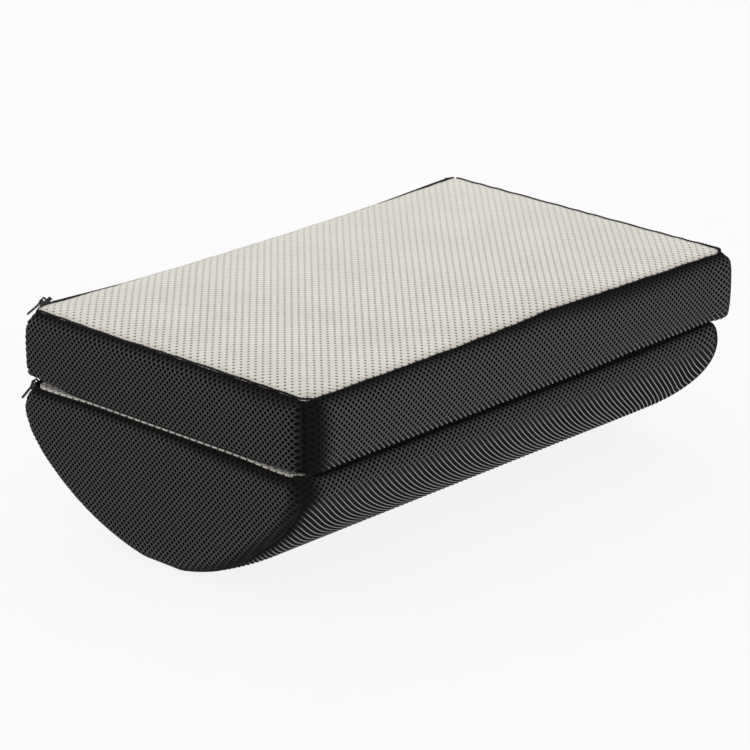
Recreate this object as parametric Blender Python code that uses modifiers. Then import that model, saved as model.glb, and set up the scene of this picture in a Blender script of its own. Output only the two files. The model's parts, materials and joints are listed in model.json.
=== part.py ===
"""Two-layer kneeling pad: a flat foam slab on a half-round foam bolster, each in its own zipped cover.

Frame: metres, +Z up. +X runs along the long side to the right end, and -Y faces the front long side.
The origin is the middle of the flattened strip that the bolster's belly rests on.
Every cushion is built in a frame of its own: x from its middle, z from its underside.
"""

import math

import bmesh
import bpy
from mathutils import Vector

GAP = 0.0003  # clearance between two solids that touch

# Bolster, the lower cushion: flat side up, belly down
BOLSTER_LENGTH = 0.419
BOLSTER_FLAT_WIDTH = 0.260
BOLSTER_HEIGHT = 0.098
BELLY_BULGE = 0.0085  # how far the belly swells out past the flat top's edge
SHOULDER = 0.014  # from the flat top down to the widest level
BELLY_POWER = 1.78  # the section's superellipse power: 2 would be a true half-ellipse
BELLY_FLATTENING = 0.0018  # foam squashed flat where the belly rests
BOLSTER_END_BULGE = 0.003

# Slab, the upper cushion
SLAB_LENGTH = 0.426
SLAB_WIDTH = 0.2645
SLAB_HEIGHT = 0.052
SLAB_CROWN = 0.003
SLAB_SHIFT = 0.009  # the slab sits this far to the right on the bolster
SLAB_END_BULGE = 0.007
SLAB_CORNER_TAPER = 0.004
SLAB_TAPER_LENGTH = 0.006

# Side of the slab: depth below the top seam, and how far it stands out past the seam
SLAB_SIDE = (
    (0.0027, 0.0030),
    (0.0067, 0.0062),
    (0.0160, 0.0073),
    (0.0260, 0.0075),
    (0.0380, 0.0069),
    (0.0455, 0.0046),
    (0.0498, 0.0006),
    (0.0520, -0.0050),
)

# Cover sheets and seams
MESH_THICKNESS = 0.003
PANEL_THICKNESS = 0.0015
PANEL_INSET = 0.0028  # from the seam line to the panel's edge
PANEL_CORNER = 0.012
SEAM_DEPTH = 0.0013  # the seam cord's centre, below the panel's top
SEAM_OUT = 0.0006
SEAM_RADIUS = 0.0011
WELT_RADIUS = 0.0012
FOAM_EDGE = 0.014
FOAM_SIDE_ROOM = 0.001

# Hook and loop strips between the cushions
STRIP_WIDTH = 0.025
STRIP_LENGTH = 0.180
STRIP_THICKNESS = 0.0008
STRIP_OFFSET = 0.130
LAYER_GAP = 2 * STRIP_THICKNESS + 3 * GAP

# Zips, in the zip's frame: x along it, y down the side of the cushion, z out of the tape
ZIP_TILT = math.radians(-50)
ZIP_OUT = 0.0010
ZIP_DROP = 0.0037
ZIP_END_ROOM = 0.0015  # from the cover's end to the zip's end
TAPE_THICKNESS = 0.0005
TAPE_LEVEL = -0.0011
TAPE_BARE = 0.0026  # flat stretch of tape beside the teeth
TAPE_HEM = 0.0053  # stretch of tape sewn in under the cover
COIL_RADIUS = 0.0008
COIL_OFFSET = 0.00155
COIL_LEVEL = 0.0002
STOP_LENGTH = 0.002
SLIDER_LENGTH = 0.009
SLIDER_FRONT = 0.0033
SLIDER_REAR = 0.0031
SLIDER_TOP = 0.00235
SLIDER_BOTTOM = -0.00265
CHANNEL_HALF_WIDTH = 0.00265
CHANNEL_TOP = 0.00125
CHANNEL_BOTTOM = -0.00165
SLOT_TOP = -0.0005
POST_HALF_WIDTH = 0.00045
POST_LENGTH = 0.0022
BAIL_HALF_LENGTH = 0.0027
BAIL_HALF_WIDTH = 0.0008
BAIL_OPENING = 0.0019
BAIL_INNER_HEIGHT = 0.0047
BAIL_TOP = 0.0056
PULL_AXIS_HEIGHT = 0.0037
PULL_THICKNESS = 0.0011
PULL_LENGTH = 0.0145
PULL_RING_HALF_WIDTH = 0.0038
PULL_EYE_HALF_WIDTH = 0.0029
PULL_EYE_END = 0.0034
PULL_HANDLE_HALF_WIDTH = 0.0017
UPPER_PULL_DROOP = math.radians(25)  # how far the tab hangs off the zip's own line
LOWER_PULL_DROOP = math.radians(36)


def clear_scene():
    for obj in list(bpy.data.objects):
        bpy.data.objects.remove(obj, do_unlink=True)


def new_collection(name):
    collection = bpy.data.collections.new(name)
    bpy.context.scene.collection.children.link(collection)
    return collection


def new_material(name, colour, roughness, metallic=0.0):
    material = bpy.data.materials.new(name)
    material.use_nodes = True
    shader = material.node_tree.nodes["Principled BSDF"]
    shader.inputs["Base Color"].default_value = (*colour, 1.0)
    shader.inputs["Roughness"].default_value = roughness
    shader.inputs["Metallic"].default_value = metallic
    return material


def new_empty(name, parent=None, location=(0, 0, 0), tilt=0.0):
    """A joint or a frame: pieces are modelled in its coordinates and parented to it."""
    empty = bpy.data.objects.new(name, None)
    empty.empty_display_size = 0.01
    empty.parent = parent
    empty.location = location
    empty.rotation_euler.x = tilt
    PARTS.objects.link(empty)
    return empty


def add_object(name, data, parent, material=None, collection=None):
    obj = bpy.data.objects.new(name, data)
    obj.parent = parent
    if material:
        data.materials.append(material)
    (collection or PARTS).objects.link(obj)
    return obj


def mesh_object(name, bm, parent, material=None, collection=None):
    mesh = bpy.data.meshes.new(name)
    bm.to_mesh(mesh)
    bm.free()
    return add_object(name, mesh, parent, material, collection)


def mark_cutter(obj):
    obj.hide_render = True
    obj.display_type = "WIRE"
    return obj


def solidify(obj, thickness, offset=-1.0):
    modifier = obj.modifiers.new("thickness", "SOLIDIFY")
    modifier.thickness = thickness
    modifier.offset = offset
    modifier.use_even_offset = True


def bevel(obj, width, segments):
    modifier = obj.modifiers.new("rounding", "BEVEL")
    modifier.width = width
    modifier.segments = segments
    modifier.limit_method = "ANGLE"
    modifier.angle_limit = math.radians(40)


def boolean(obj, operation, other):
    modifier = obj.modifiers.new(operation.lower(), "BOOLEAN")
    modifier.operation = operation
    modifier.solver = "EXACT"
    modifier.object = other


def smooth(obj):
    obj.data.shade_smooth()
    obj.data.set_sharp_from_angle(angle=math.radians(40))


def inset_path(points, distance):
    """The open (y, z) path moved to its left by the distance: inwards on a path that runs down the
    front, along the bottom and up the back."""
    path = [Vector(p) for p in points]
    moved = []
    for i, point in enumerate(path):
        before = (point - path[max(i - 1, 0)]).normalized() if i else None
        after = (path[i + 1] - point).normalized() if i + 1 < len(path) else None
        first = before or after
        second = after or before
        normal = Vector((-first.y - second.y, first.x + second.x)).normalized()
        mitre = normal.dot(Vector((-first.y, first.x)))
        moved.append(tuple(point + normal * distance / mitre))
    return moved


def slab_outline():
    """Outer (y, z) line of the slab's wrapping cover: down the front, along the bottom, up the back
    to the zip."""
    half = SLAB_WIDTH / 2
    front = [(-half - out, SLAB_HEIGHT - depth) for depth, out in SLAB_SIDE]
    back = [(-y, z) for y, z in reversed(front)]
    return front + back[:-1]


def bolster_outline():
    """Outer (y, z) line of the bolster's wrapping cover, over the shoulder and round the belly."""
    half = BOLSTER_FLAT_WIDTH / 2
    depths = [SLAB_SIDE[0][0], SLAB_SIDE[1][0], SHOULDER]
    front = []
    for depth in depths:
        out = BELLY_BULGE * math.sqrt(1 - (1 - depth / SHOULDER) ** 2)
        front.append((-half - out, BOLSTER_HEIGHT - depth))
    widest = half + BELLY_BULGE
    fall = BOLSTER_HEIGHT - SHOULDER + BELLY_FLATTENING
    steps = 18
    for k in range(1, steps):
        angle = math.pi / 2 * k / steps
        y = -widest * math.cos(angle) ** (2 / BELLY_POWER)
        z = BOLSTER_HEIGHT - SHOULDER - fall * math.sin(angle) ** (2 / BELLY_POWER)
        if z > 0:
            front.append((y, z))
    rest_angle = math.asin((1 - BELLY_FLATTENING / fall) ** (BELLY_POWER / 2))
    front.append((-widest * math.cos(rest_angle) ** (2 / BELLY_POWER), 0.0))
    back = [(-y, z) for y, z in reversed(front)]
    return front + back[:-1]


def wrap_panel(name, outline, stations, parent):
    """A sheet that follows the outline at each (x, taper) station."""
    bm = bmesh.new()
    rows = []
    for x, taper in stations:
        rows.append([bm.verts.new((x, y - math.copysign(taper, y), z)) for y, z in outline])
    for row, following in zip(rows, rows[1:]):
        for i in range(len(outline) - 1):
            bm.faces.new((row[i], row[i + 1], following[i + 1], following[i]))
    obj = mesh_object(name, bm, parent, MESH_CLOTH)
    solidify(obj, MESH_THICKNESS)
    smooth(obj)


def end_outline(outline, height, half_width, taper):
    """Closed (y, z) line of an end panel, inside the wrapping cover and clear of the zip."""
    inner = inset_path(outline, MESH_THICKNESS + GAP)
    chamfer_y, chamfer_z = 0.008, 0.016
    low = [(y - math.copysign(taper, y), z) for y, z in inner if z < height - chamfer_z]
    top = height - SLAB_SIDE[0][0]
    return low + [(half_width - chamfer_y, top), (-half_width + chamfer_y, top)]


def end_panel(name, side, outline, rim, bulge, parent):
    """A sheet across one end, swelling outwards from its rim. side is -1 at the left end."""
    bm = bmesh.new()
    loop = [bm.verts.new((side * rim, y, z)) for y, z in outline]
    face = bm.faces.new(loop if side > 0 else loop[::-1])
    for width, depth in ((0.007, 0.7 * bulge), (0.012, 0.3 * bulge)):
        bm.normal_update()
        bmesh.ops.inset_region(bm, faces=[face], thickness=width, depth=depth)
    obj = mesh_object(name, bm, parent, MESH_CLOTH)
    solidify(obj, MESH_THICKNESS)
    smooth(obj)


def cord(name, points, radius, parent, material):
    """A round cord through the points."""
    curve = bpy.data.curves.new(name, "CURVE")
    curve.dimensions = "3D"
    curve.bevel_depth = radius
    curve.bevel_resolution = 1
    curve.use_fill_caps = True
    spline = curve.splines.new("POLY")
    spline.points.add(len(points) - 1)
    for target, point in zip(spline.points, points):
        target.co = (*point, 1.0)
    return add_object(name, curve, parent, material)


def flat_shape(name, outlines, thickness, parent, material=None, collection=None):
    """A flat piece in the XY plane, centred on it: an outer outline and any holes."""
    curve = bpy.data.curves.new(name, "CURVE")
    curve.dimensions = "2D"
    curve.fill_mode = "BOTH"
    curve.extrude = thickness / 2
    for outline in outlines:
        spline = curve.splines.new("POLY")
        spline.points.add(len(outline) - 1)
        for target, (x, y) in zip(spline.points, outline):
            target.co = (x, y, 0.0, 1.0)
        spline.use_cyclic_u = True
    return add_object(name, curve, parent, material, collection)


def as_mesh(obj):
    """The same piece as a closed mesh, so that it can be cut or joined."""
    bpy.context.view_layer.update()
    graph = bpy.context.evaluated_depsgraph_get()
    mesh = bpy.data.meshes.new_from_object(obj.evaluated_get(graph))
    bm = bmesh.new()
    bm.from_mesh(mesh)
    bmesh.ops.remove_doubles(bm, verts=bm.verts, dist=1e-6)
    bm.to_mesh(mesh)
    bm.free()
    name, parent, collection = obj.name, obj.parent, obj.users_collection[0]
    location, rotation = obj.location.copy(), obj.rotation_euler.copy()
    bpy.data.objects.remove(obj, do_unlink=True)
    made = bpy.data.objects.new(name, mesh)
    made.parent = parent
    made.location = location
    made.rotation_euler = rotation
    collection.objects.link(made)
    return made


def box(name, low, high, parent, material=None, collection=None):
    bm = bmesh.new()
    bmesh.ops.create_cube(bm, size=1.0)
    bmesh.ops.scale(bm, vec=[b - a for a, b in zip(low, high)], verts=bm.verts)
    bmesh.ops.translate(bm, vec=[(a + b) / 2 for a, b in zip(low, high)], verts=bm.verts)
    return mesh_object(name, bm, parent, material, collection)


def rounded_rectangle(half_length, half_width, radius, steps=3):
    points = []
    for quarter, (sx, sy) in enumerate(((1, 1), (-1, 1), (-1, -1), (1, -1))):
        for k in range(steps + 1):
            angle = math.pi / 2 * (quarter + k / steps)
            x = sx * (half_length - radius) + radius * math.cos(angle)
            y = sy * (half_width - radius) + radius * math.sin(angle)
            points.append((x, y))
    return points


def crown_grid(bm, half_length, half_width, base, crown):
    """A grid of cells, level in the middle and falling to its edge; the corners are cut in."""
    columns, rows = 10, 6
    bmesh.ops.create_grid(bm, x_segments=columns, y_segments=rows, size=1.0)
    for vert in bm.verts:
        u, v = vert.co.x, vert.co.y
        ring = min((1 - abs(u)) * columns / 2, (1 - abs(v)) * rows / 2)
        rise = crown * (0.0, 0.8, 1.0)[min(round(ring), 2)]
        corner = PANEL_CORNER * (1 - math.sqrt(0.5)) if abs(u) > 0.99 and abs(v) > 0.99 else 0.0
        vert.co = (
            u * half_length - math.copysign(corner, u),
            v * half_width - math.copysign(corner, v),
            base + rise,
        )


def slab_foam(parent):
    """The slab's foam block: crowned top, flat bottom, rounded edges."""
    half_length = SLAB_LENGTH / 2 - MESH_THICKNESS - FOAM_SIDE_ROOM
    half_width = SLAB_WIDTH / 2 - FOAM_SIDE_ROOM
    top = SLAB_HEIGHT - PANEL_THICKNESS - 2 * GAP - TAPE_THICKNESS
    bottom = MESH_THICKNESS + GAP
    bm = bmesh.new()
    crown_grid(bm, half_length, half_width, top, SLAB_CROWN)
    made = bmesh.ops.extrude_face_region(bm, geom=bm.faces[:])
    for vert in made["geom"]:
        if isinstance(vert, bmesh.types.BMVert):
            vert.co.z = bottom
    bmesh.ops.recalc_face_normals(bm, faces=bm.faces)
    obj = mesh_object("upper_foam_core", bm, parent, FOAM)
    bevel(obj, FOAM_EDGE, 3)
    smooth(obj)


def slab_top_panel(parent):
    """The perforated cloth sheet on top of the slab."""
    bm = bmesh.new()
    half_length = SLAB_LENGTH / 2 - PANEL_INSET
    half_width = SLAB_WIDTH / 2 - PANEL_INSET
    crown_grid(bm, half_length, half_width, SLAB_HEIGHT, SLAB_CROWN)
    obj = mesh_object("upper_top_panel", bm, parent, PANEL_CLOTH)
    solidify(obj, PANEL_THICKNESS)
    smooth(obj)


def bolster_foam(outline, parent):
    """The bolster's foam: a D section with rounded ends and top edges."""
    inner = inset_path(outline, MESH_THICKNESS + FOAM_SIDE_ROOM)
    top = BOLSTER_HEIGHT - PANEL_THICKNESS - 2 * GAP - TAPE_THICKNESS
    low = [(y, z) for y, z in inner if z < top - SHOULDER]
    half_width = BOLSTER_FLAT_WIDTH / 2 - FOAM_SIDE_ROOM
    section = low + [(half_width, top), (-half_width, top)]
    half_length = BOLSTER_LENGTH / 2 - MESH_THICKNESS - GAP
    bm = bmesh.new()
    face = bm.faces.new([bm.verts.new((-half_length, y, z)) for y, z in section])
    made = bmesh.ops.extrude_face_region(bm, geom=[face])
    moved = [v for v in made["geom"] if isinstance(v, bmesh.types.BMVert)]
    bmesh.ops.translate(bm, vec=(2 * half_length, 0, 0), verts=moved)
    bmesh.ops.recalc_face_normals(bm, faces=bm.faces)
    obj = mesh_object("lower_foam_core", bm, parent, FOAM)
    bevel(obj, FOAM_EDGE / 2, 2)
    smooth(obj)


def bolster_top_panel(parent):
    """The perforated cloth sheet on the bolster's flat top."""
    outline = rounded_rectangle(
        BOLSTER_LENGTH / 2 - PANEL_INSET, BOLSTER_FLAT_WIDTH / 2 - PANEL_INSET, PANEL_CORNER
    )
    obj = flat_shape("lower_top_panel", [outline], PANEL_THICKNESS, parent, PANEL_CLOTH)
    obj.location.z = BOLSTER_HEIGHT - PANEL_THICKNESS / 2


def seam_cord(name, half_length, half_width, height, parent):
    """The overlocked seam round the top panel's left, front and right sides."""
    x = half_length + SEAM_OUT
    y = half_width + SEAM_OUT
    z = height - SEAM_DEPTH
    radius = PANEL_CORNER
    back = half_width - ZIP_OUT - 2 * PANEL_CORNER / 3
    points = [(-x, back, z)]
    for corner_x, start in ((-x + radius, math.pi), (x - radius, 1.5 * math.pi)):
        for k in range(5):
            angle = start + math.pi / 2 * k / 4
            points.append(
                (corner_x + radius * math.cos(angle), -y + radius + radius * math.sin(angle), z)
            )
    points.append((x, back, z))
    cord(name, points, SEAM_RADIUS, parent, THREAD)


def end_welt(name, side, outline, x, taper, parent):
    """The raised seam where an end panel meets the wrapping cover."""
    path = inset_path(outline, MESH_THICKNESS / 2)
    top = path[0][1] - WELT_RADIUS
    points = [(side * x, y - math.copysign(taper, y), z) for y, z in path if z < top]
    cord(name, points, WELT_RADIUS, parent, THREAD)


def zip_tape(name, side, half_length, parent):
    """One half of the tape: flat beside the teeth, then sewn in under the cover.
    side is -1 for the half at the top panel and 1 for the half at the wrapping cover."""
    inner = side * (COIL_OFFSET - COIL_RADIUS)
    outer = inner + side * TAPE_BARE
    hem_angle = math.pi - ZIP_TILT if side < 0 else -math.pi / 2 - ZIP_TILT
    path = [
        (inner, TAPE_LEVEL),
        (outer, TAPE_LEVEL),
        (outer + TAPE_HEM * math.cos(hem_angle), TAPE_LEVEL + TAPE_HEM * math.sin(hem_angle)),
    ]
    bm = bmesh.new()
    ends = [[bm.verts.new((x, y, z)) for y, z in path] for x in (-half_length, half_length)]
    for i in range(len(path) - 1):
        bm.faces.new((ends[0][i], ends[1][i], ends[1][i + 1], ends[0][i + 1]))
    obj = mesh_object(name, bm, parent, ZIP_TAPE)
    solidify(obj, TAPE_THICKNESS, offset=0.0)


def zip_coil(name, side, half_length, parent):
    """One strand of teeth along the edge of its tape."""
    y = side * COIL_OFFSET
    ends = [(-half_length, y, COIL_LEVEL), (half_length, y, COIL_LEVEL)]
    cord(name, ends, COIL_RADIUS, parent, ZIP_PLASTIC)


def zip_slider(name, x, parent):
    """The slider: two plates round a channel, joined by a post, with a bail on top."""
    half = SLIDER_LENGTH / 2
    plan = [
        (-half, -0.8 * SLIDER_FRONT),
        (-0.75 * half, -SLIDER_FRONT),
        (0.2 * half, -SLIDER_FRONT),
        (half, -SLIDER_REAR),
        (half, SLIDER_REAR),
        (0.2 * half, SLIDER_FRONT),
        (-0.75 * half, SLIDER_FRONT),
        (-half, 0.8 * SLIDER_FRONT),
    ]
    body = flat_shape(name, [plan], SLIDER_TOP - SLIDER_BOTTOM, parent)
    body.location = (x, 0, (SLIDER_TOP + SLIDER_BOTTOM) / 2)
    body = as_mesh(body)
    body.data.materials.append(ZIP_METAL)
    far = SLIDER_LENGTH
    channel = box(
        name + "_channel",
        (x - far, -CHANNEL_HALF_WIDTH, CHANNEL_BOTTOM),
        (x + far, CHANNEL_HALF_WIDTH, CHANNEL_TOP),
        parent,
        collection=CUTTERS,
    )
    slot = box(
        name + "_slot",
        (x - far, -far, CHANNEL_BOTTOM),
        (x + far, far, SLOT_TOP),
        parent,
        collection=CUTTERS,
    )
    post = box(
        name + "_post",
        (x - half + 0.0008, -POST_HALF_WIDTH, SLIDER_BOTTOM + 0.0004),
        (x - half + 0.0008 + POST_LENGTH, POST_HALF_WIDTH, SLIDER_TOP - 0.0004),
        parent,
        collection=CUTTERS,
    )
    bail = flat_shape(name + "_bail", [bail_outline()], 2 * BAIL_HALF_WIDTH, parent, collection=CUTTERS)
    bail.location = (x, 0, 0)
    bail.rotation_euler.x = math.pi / 2
    bail = as_mesh(bail)
    for cutter in (channel, slot, post, bail):
        mark_cutter(cutter)
    boolean(body, "DIFFERENCE", channel)
    boolean(body, "DIFFERENCE", slot)
    boolean(body, "UNION", post)
    boolean(body, "UNION", bail)


def bail_outline():
    """Side view of the bail: an arch with its feet in the slider's top plate."""
    foot = SLIDER_TOP - 0.0005
    outer = [
        (BAIL_HALF_LENGTH, foot),
        (BAIL_HALF_LENGTH, BAIL_TOP - 0.0008),
        (BAIL_HALF_LENGTH - 0.0006, BAIL_TOP),
    ]
    inner = [(BAIL_OPENING, BAIL_INNER_HEIGHT), (BAIL_OPENING, foot)]
    right = outer
    left = [(-x, z) for x, z in reversed(outer)]
    return right + left + [(-x, z) for x, z in reversed(inner)] + inner


def zip_pull(name, x, droop, parent):
    """The pull tab: an eye round the bail's bar and a slim handle. Its origin is on its hinge."""
    bar = PULL_THICKNESS / 2
    ring_end = PULL_EYE_END + 2 * bar
    outer = [(bar, PULL_RING_HALF_WIDTH), (-0.8 * ring_end, PULL_RING_HALF_WIDTH)]
    outer += [(-ring_end, PULL_HANDLE_HALF_WIDTH)]
    for k in range(5):
        angle = math.pi / 2 * k / 4
        outer.append(
            (
                -PULL_LENGTH + PULL_HANDLE_HALF_WIDTH * (1 - math.sin(angle)),
                PULL_HANDLE_HALF_WIDTH * math.cos(angle),
            )
        )
    outline = outer + [(px, -py) for px, py in reversed(outer[:-1])]
    eye = [
        (-bar, -PULL_EYE_HALF_WIDTH),
        (-bar, PULL_EYE_HALF_WIDTH),
        (-PULL_EYE_END, PULL_EYE_HALF_WIDTH),
        (-PULL_EYE_END, -PULL_EYE_HALF_WIDTH),
    ]
    obj = flat_shape(name, [outline, eye], PULL_THICKNESS, parent, ZIP_METAL)
    obj.location = (x, 0, PULL_AXIS_HEIGHT)
    obj.rotation_euler.z = -droop


def zip_fastener(prefix, half_length, half_width, height, droop, parent):
    """A whole zip along the back long edge, shut, with its slider at the left end."""
    frame = new_empty(
        prefix + "_zip_frame",
        parent,
        (0, half_width + ZIP_OUT, height - ZIP_DROP),
        ZIP_TILT,
    )
    zip_tape(prefix + "_zip_top_tape", -1, half_length, frame)
    zip_tape(prefix + "_zip_bottom_tape", 1, half_length, frame)
    coil_half = half_length - STOP_LENGTH - GAP
    zip_coil(prefix + "_zip_top_coil", -1, coil_half, frame)
    zip_coil(prefix + "_zip_bottom_coil", 1, coil_half, frame)
    stop_low = COIL_LEVEL - COIL_RADIUS
    stop_high = COIL_LEVEL + COIL_RADIUS
    for label, side in (("top", -1), ("bottom", 1)):
        edges = sorted((side * 0.0006, side * 0.0032))
        box(
            f"{prefix}_zip_{label}_end_stop",
            (-half_length, edges[0], stop_low),
            (-half_length + STOP_LENGTH, edges[1], stop_high),
            frame,
            ZIP_METAL,
        )
    box(
        prefix + "_zip_base_stop",
        (half_length - STOP_LENGTH, -0.0032, stop_low),
        (half_length, 0.0032, stop_high),
        frame,
        ZIP_METAL,
    )
    slider_x = -half_length + STOP_LENGTH + GAP + SLIDER_LENGTH / 2
    zip_slider(prefix + "_zip_slider", slider_x, frame)
    zip_pull(prefix + "_zip_pull", slider_x, droop, frame)


def fastening_strips(prefix, label, low, parent, shift):
    """One hook or loop strip near each end, its long side across the pad."""
    for end, x in (("left", -STRIP_OFFSET), ("right", STRIP_OFFSET)):
        box(
            f"{prefix}_{label}_strip_{end}",
            (x + shift - STRIP_WIDTH / 2, -STRIP_LENGTH / 2, low),
            (x + shift + STRIP_WIDTH / 2, STRIP_LENGTH / 2, low + STRIP_THICKNESS),
            parent,
            HOOK_AND_LOOP,
        )


def build_bolster():
    frame = new_empty("bolster_frame")
    outline = bolster_outline()
    half_length = BOLSTER_LENGTH / 2
    half_width = BOLSTER_FLAT_WIDTH / 2
    bolster_foam(outline, frame)
    bolster_top_panel(frame)
    wrap_panel("lower_wrap_panel", outline, ((-half_length, 0.0), (half_length, 0.0)), frame)
    ends = end_outline(outline, BOLSTER_HEIGHT, half_width, 0.0)
    for end, side in (("left", -1), ("right", 1)):
        end_panel(f"lower_{end}_end_panel", side, ends, half_length, BOLSTER_END_BULGE, frame)
        welt_x = half_length + GAP + WELT_RADIUS
        end_welt(f"lower_{end}_end_welt", side, outline, welt_x, 0.0, frame)
    seam_cord("lower_top_seam", half_length, half_width, BOLSTER_HEIGHT, frame)
    zip_half = half_length - ZIP_END_ROOM
    zip_fastener("lower", zip_half, half_width, BOLSTER_HEIGHT, LOWER_PULL_DROOP, frame)
    fastening_strips("lower", "hook", BOLSTER_HEIGHT + GAP, frame, 0.0)


def build_slab():
    frame = new_empty("slab_frame", None, (SLAB_SHIFT, 0, BOLSTER_HEIGHT + LAYER_GAP))
    outline = slab_outline()
    half_length = SLAB_LENGTH / 2
    half_width = SLAB_WIDTH / 2
    straight = half_length - SLAB_TAPER_LENGTH
    stations = (
        (-half_length, SLAB_CORNER_TAPER),
        (-straight, 0.0),
        (straight, 0.0),
        (half_length, SLAB_CORNER_TAPER),
    )
    slab_foam(frame)
    slab_top_panel(frame)
    wrap_panel("upper_wrap_panel", outline, stations, frame)
    ends = end_outline(outline, SLAB_HEIGHT, half_width, SLAB_CORNER_TAPER)
    for end, side in (("left", -1), ("right", 1)):
        end_panel(f"upper_{end}_end_panel", side, ends, half_length, SLAB_END_BULGE, frame)
        welt_x = half_length + GAP + WELT_RADIUS
        end_welt(f"upper_{end}_end_welt", side, outline, welt_x, SLAB_CORNER_TAPER, frame)
    seam_cord("upper_top_seam", half_length, half_width, SLAB_HEIGHT, frame)
    zip_fastener("upper", straight, half_width, SLAB_HEIGHT, UPPER_PULL_DROOP, frame)
    fastening_strips("upper", "loop", -GAP - STRIP_THICKNESS, frame, -SLAB_SHIFT)


clear_scene()
PARTS = new_collection("kneeling_pad")
CUTTERS = new_collection("cutters")
FOAM = new_material("foam", (0.80, 0.76, 0.62), 0.95)
PANEL_CLOTH = new_material("perforated_cloth", (0.72, 0.68, 0.60), 0.85)
MESH_CLOTH = new_material("air_mesh", (0.045, 0.045, 0.048), 0.8)
THREAD = new_material("seam_thread", (0.02, 0.02, 0.022), 0.8)
ZIP_TAPE = new_material("zip_tape", (0.012, 0.012, 0.013), 0.85)
ZIP_PLASTIC = new_material("zip_plastic", (0.015, 0.015, 0.016), 0.4)
ZIP_METAL = new_material("zip_metal", (0.02, 0.02, 0.021), 0.35)
HOOK_AND_LOOP = new_material("hook_and_loop", (0.02, 0.02, 0.02), 0.9)
build_bolster()
build_slab()
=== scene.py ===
"""Looks of the two-layer kneeling pad: cloth covers over foam, seams, zips and hook-and-loop strips.

Sizes are in millimetres until a mesh is made, in the frame's axes: +X to the right end, -Y to the front.
"""

import json
import math
from types import SimpleNamespace

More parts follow.
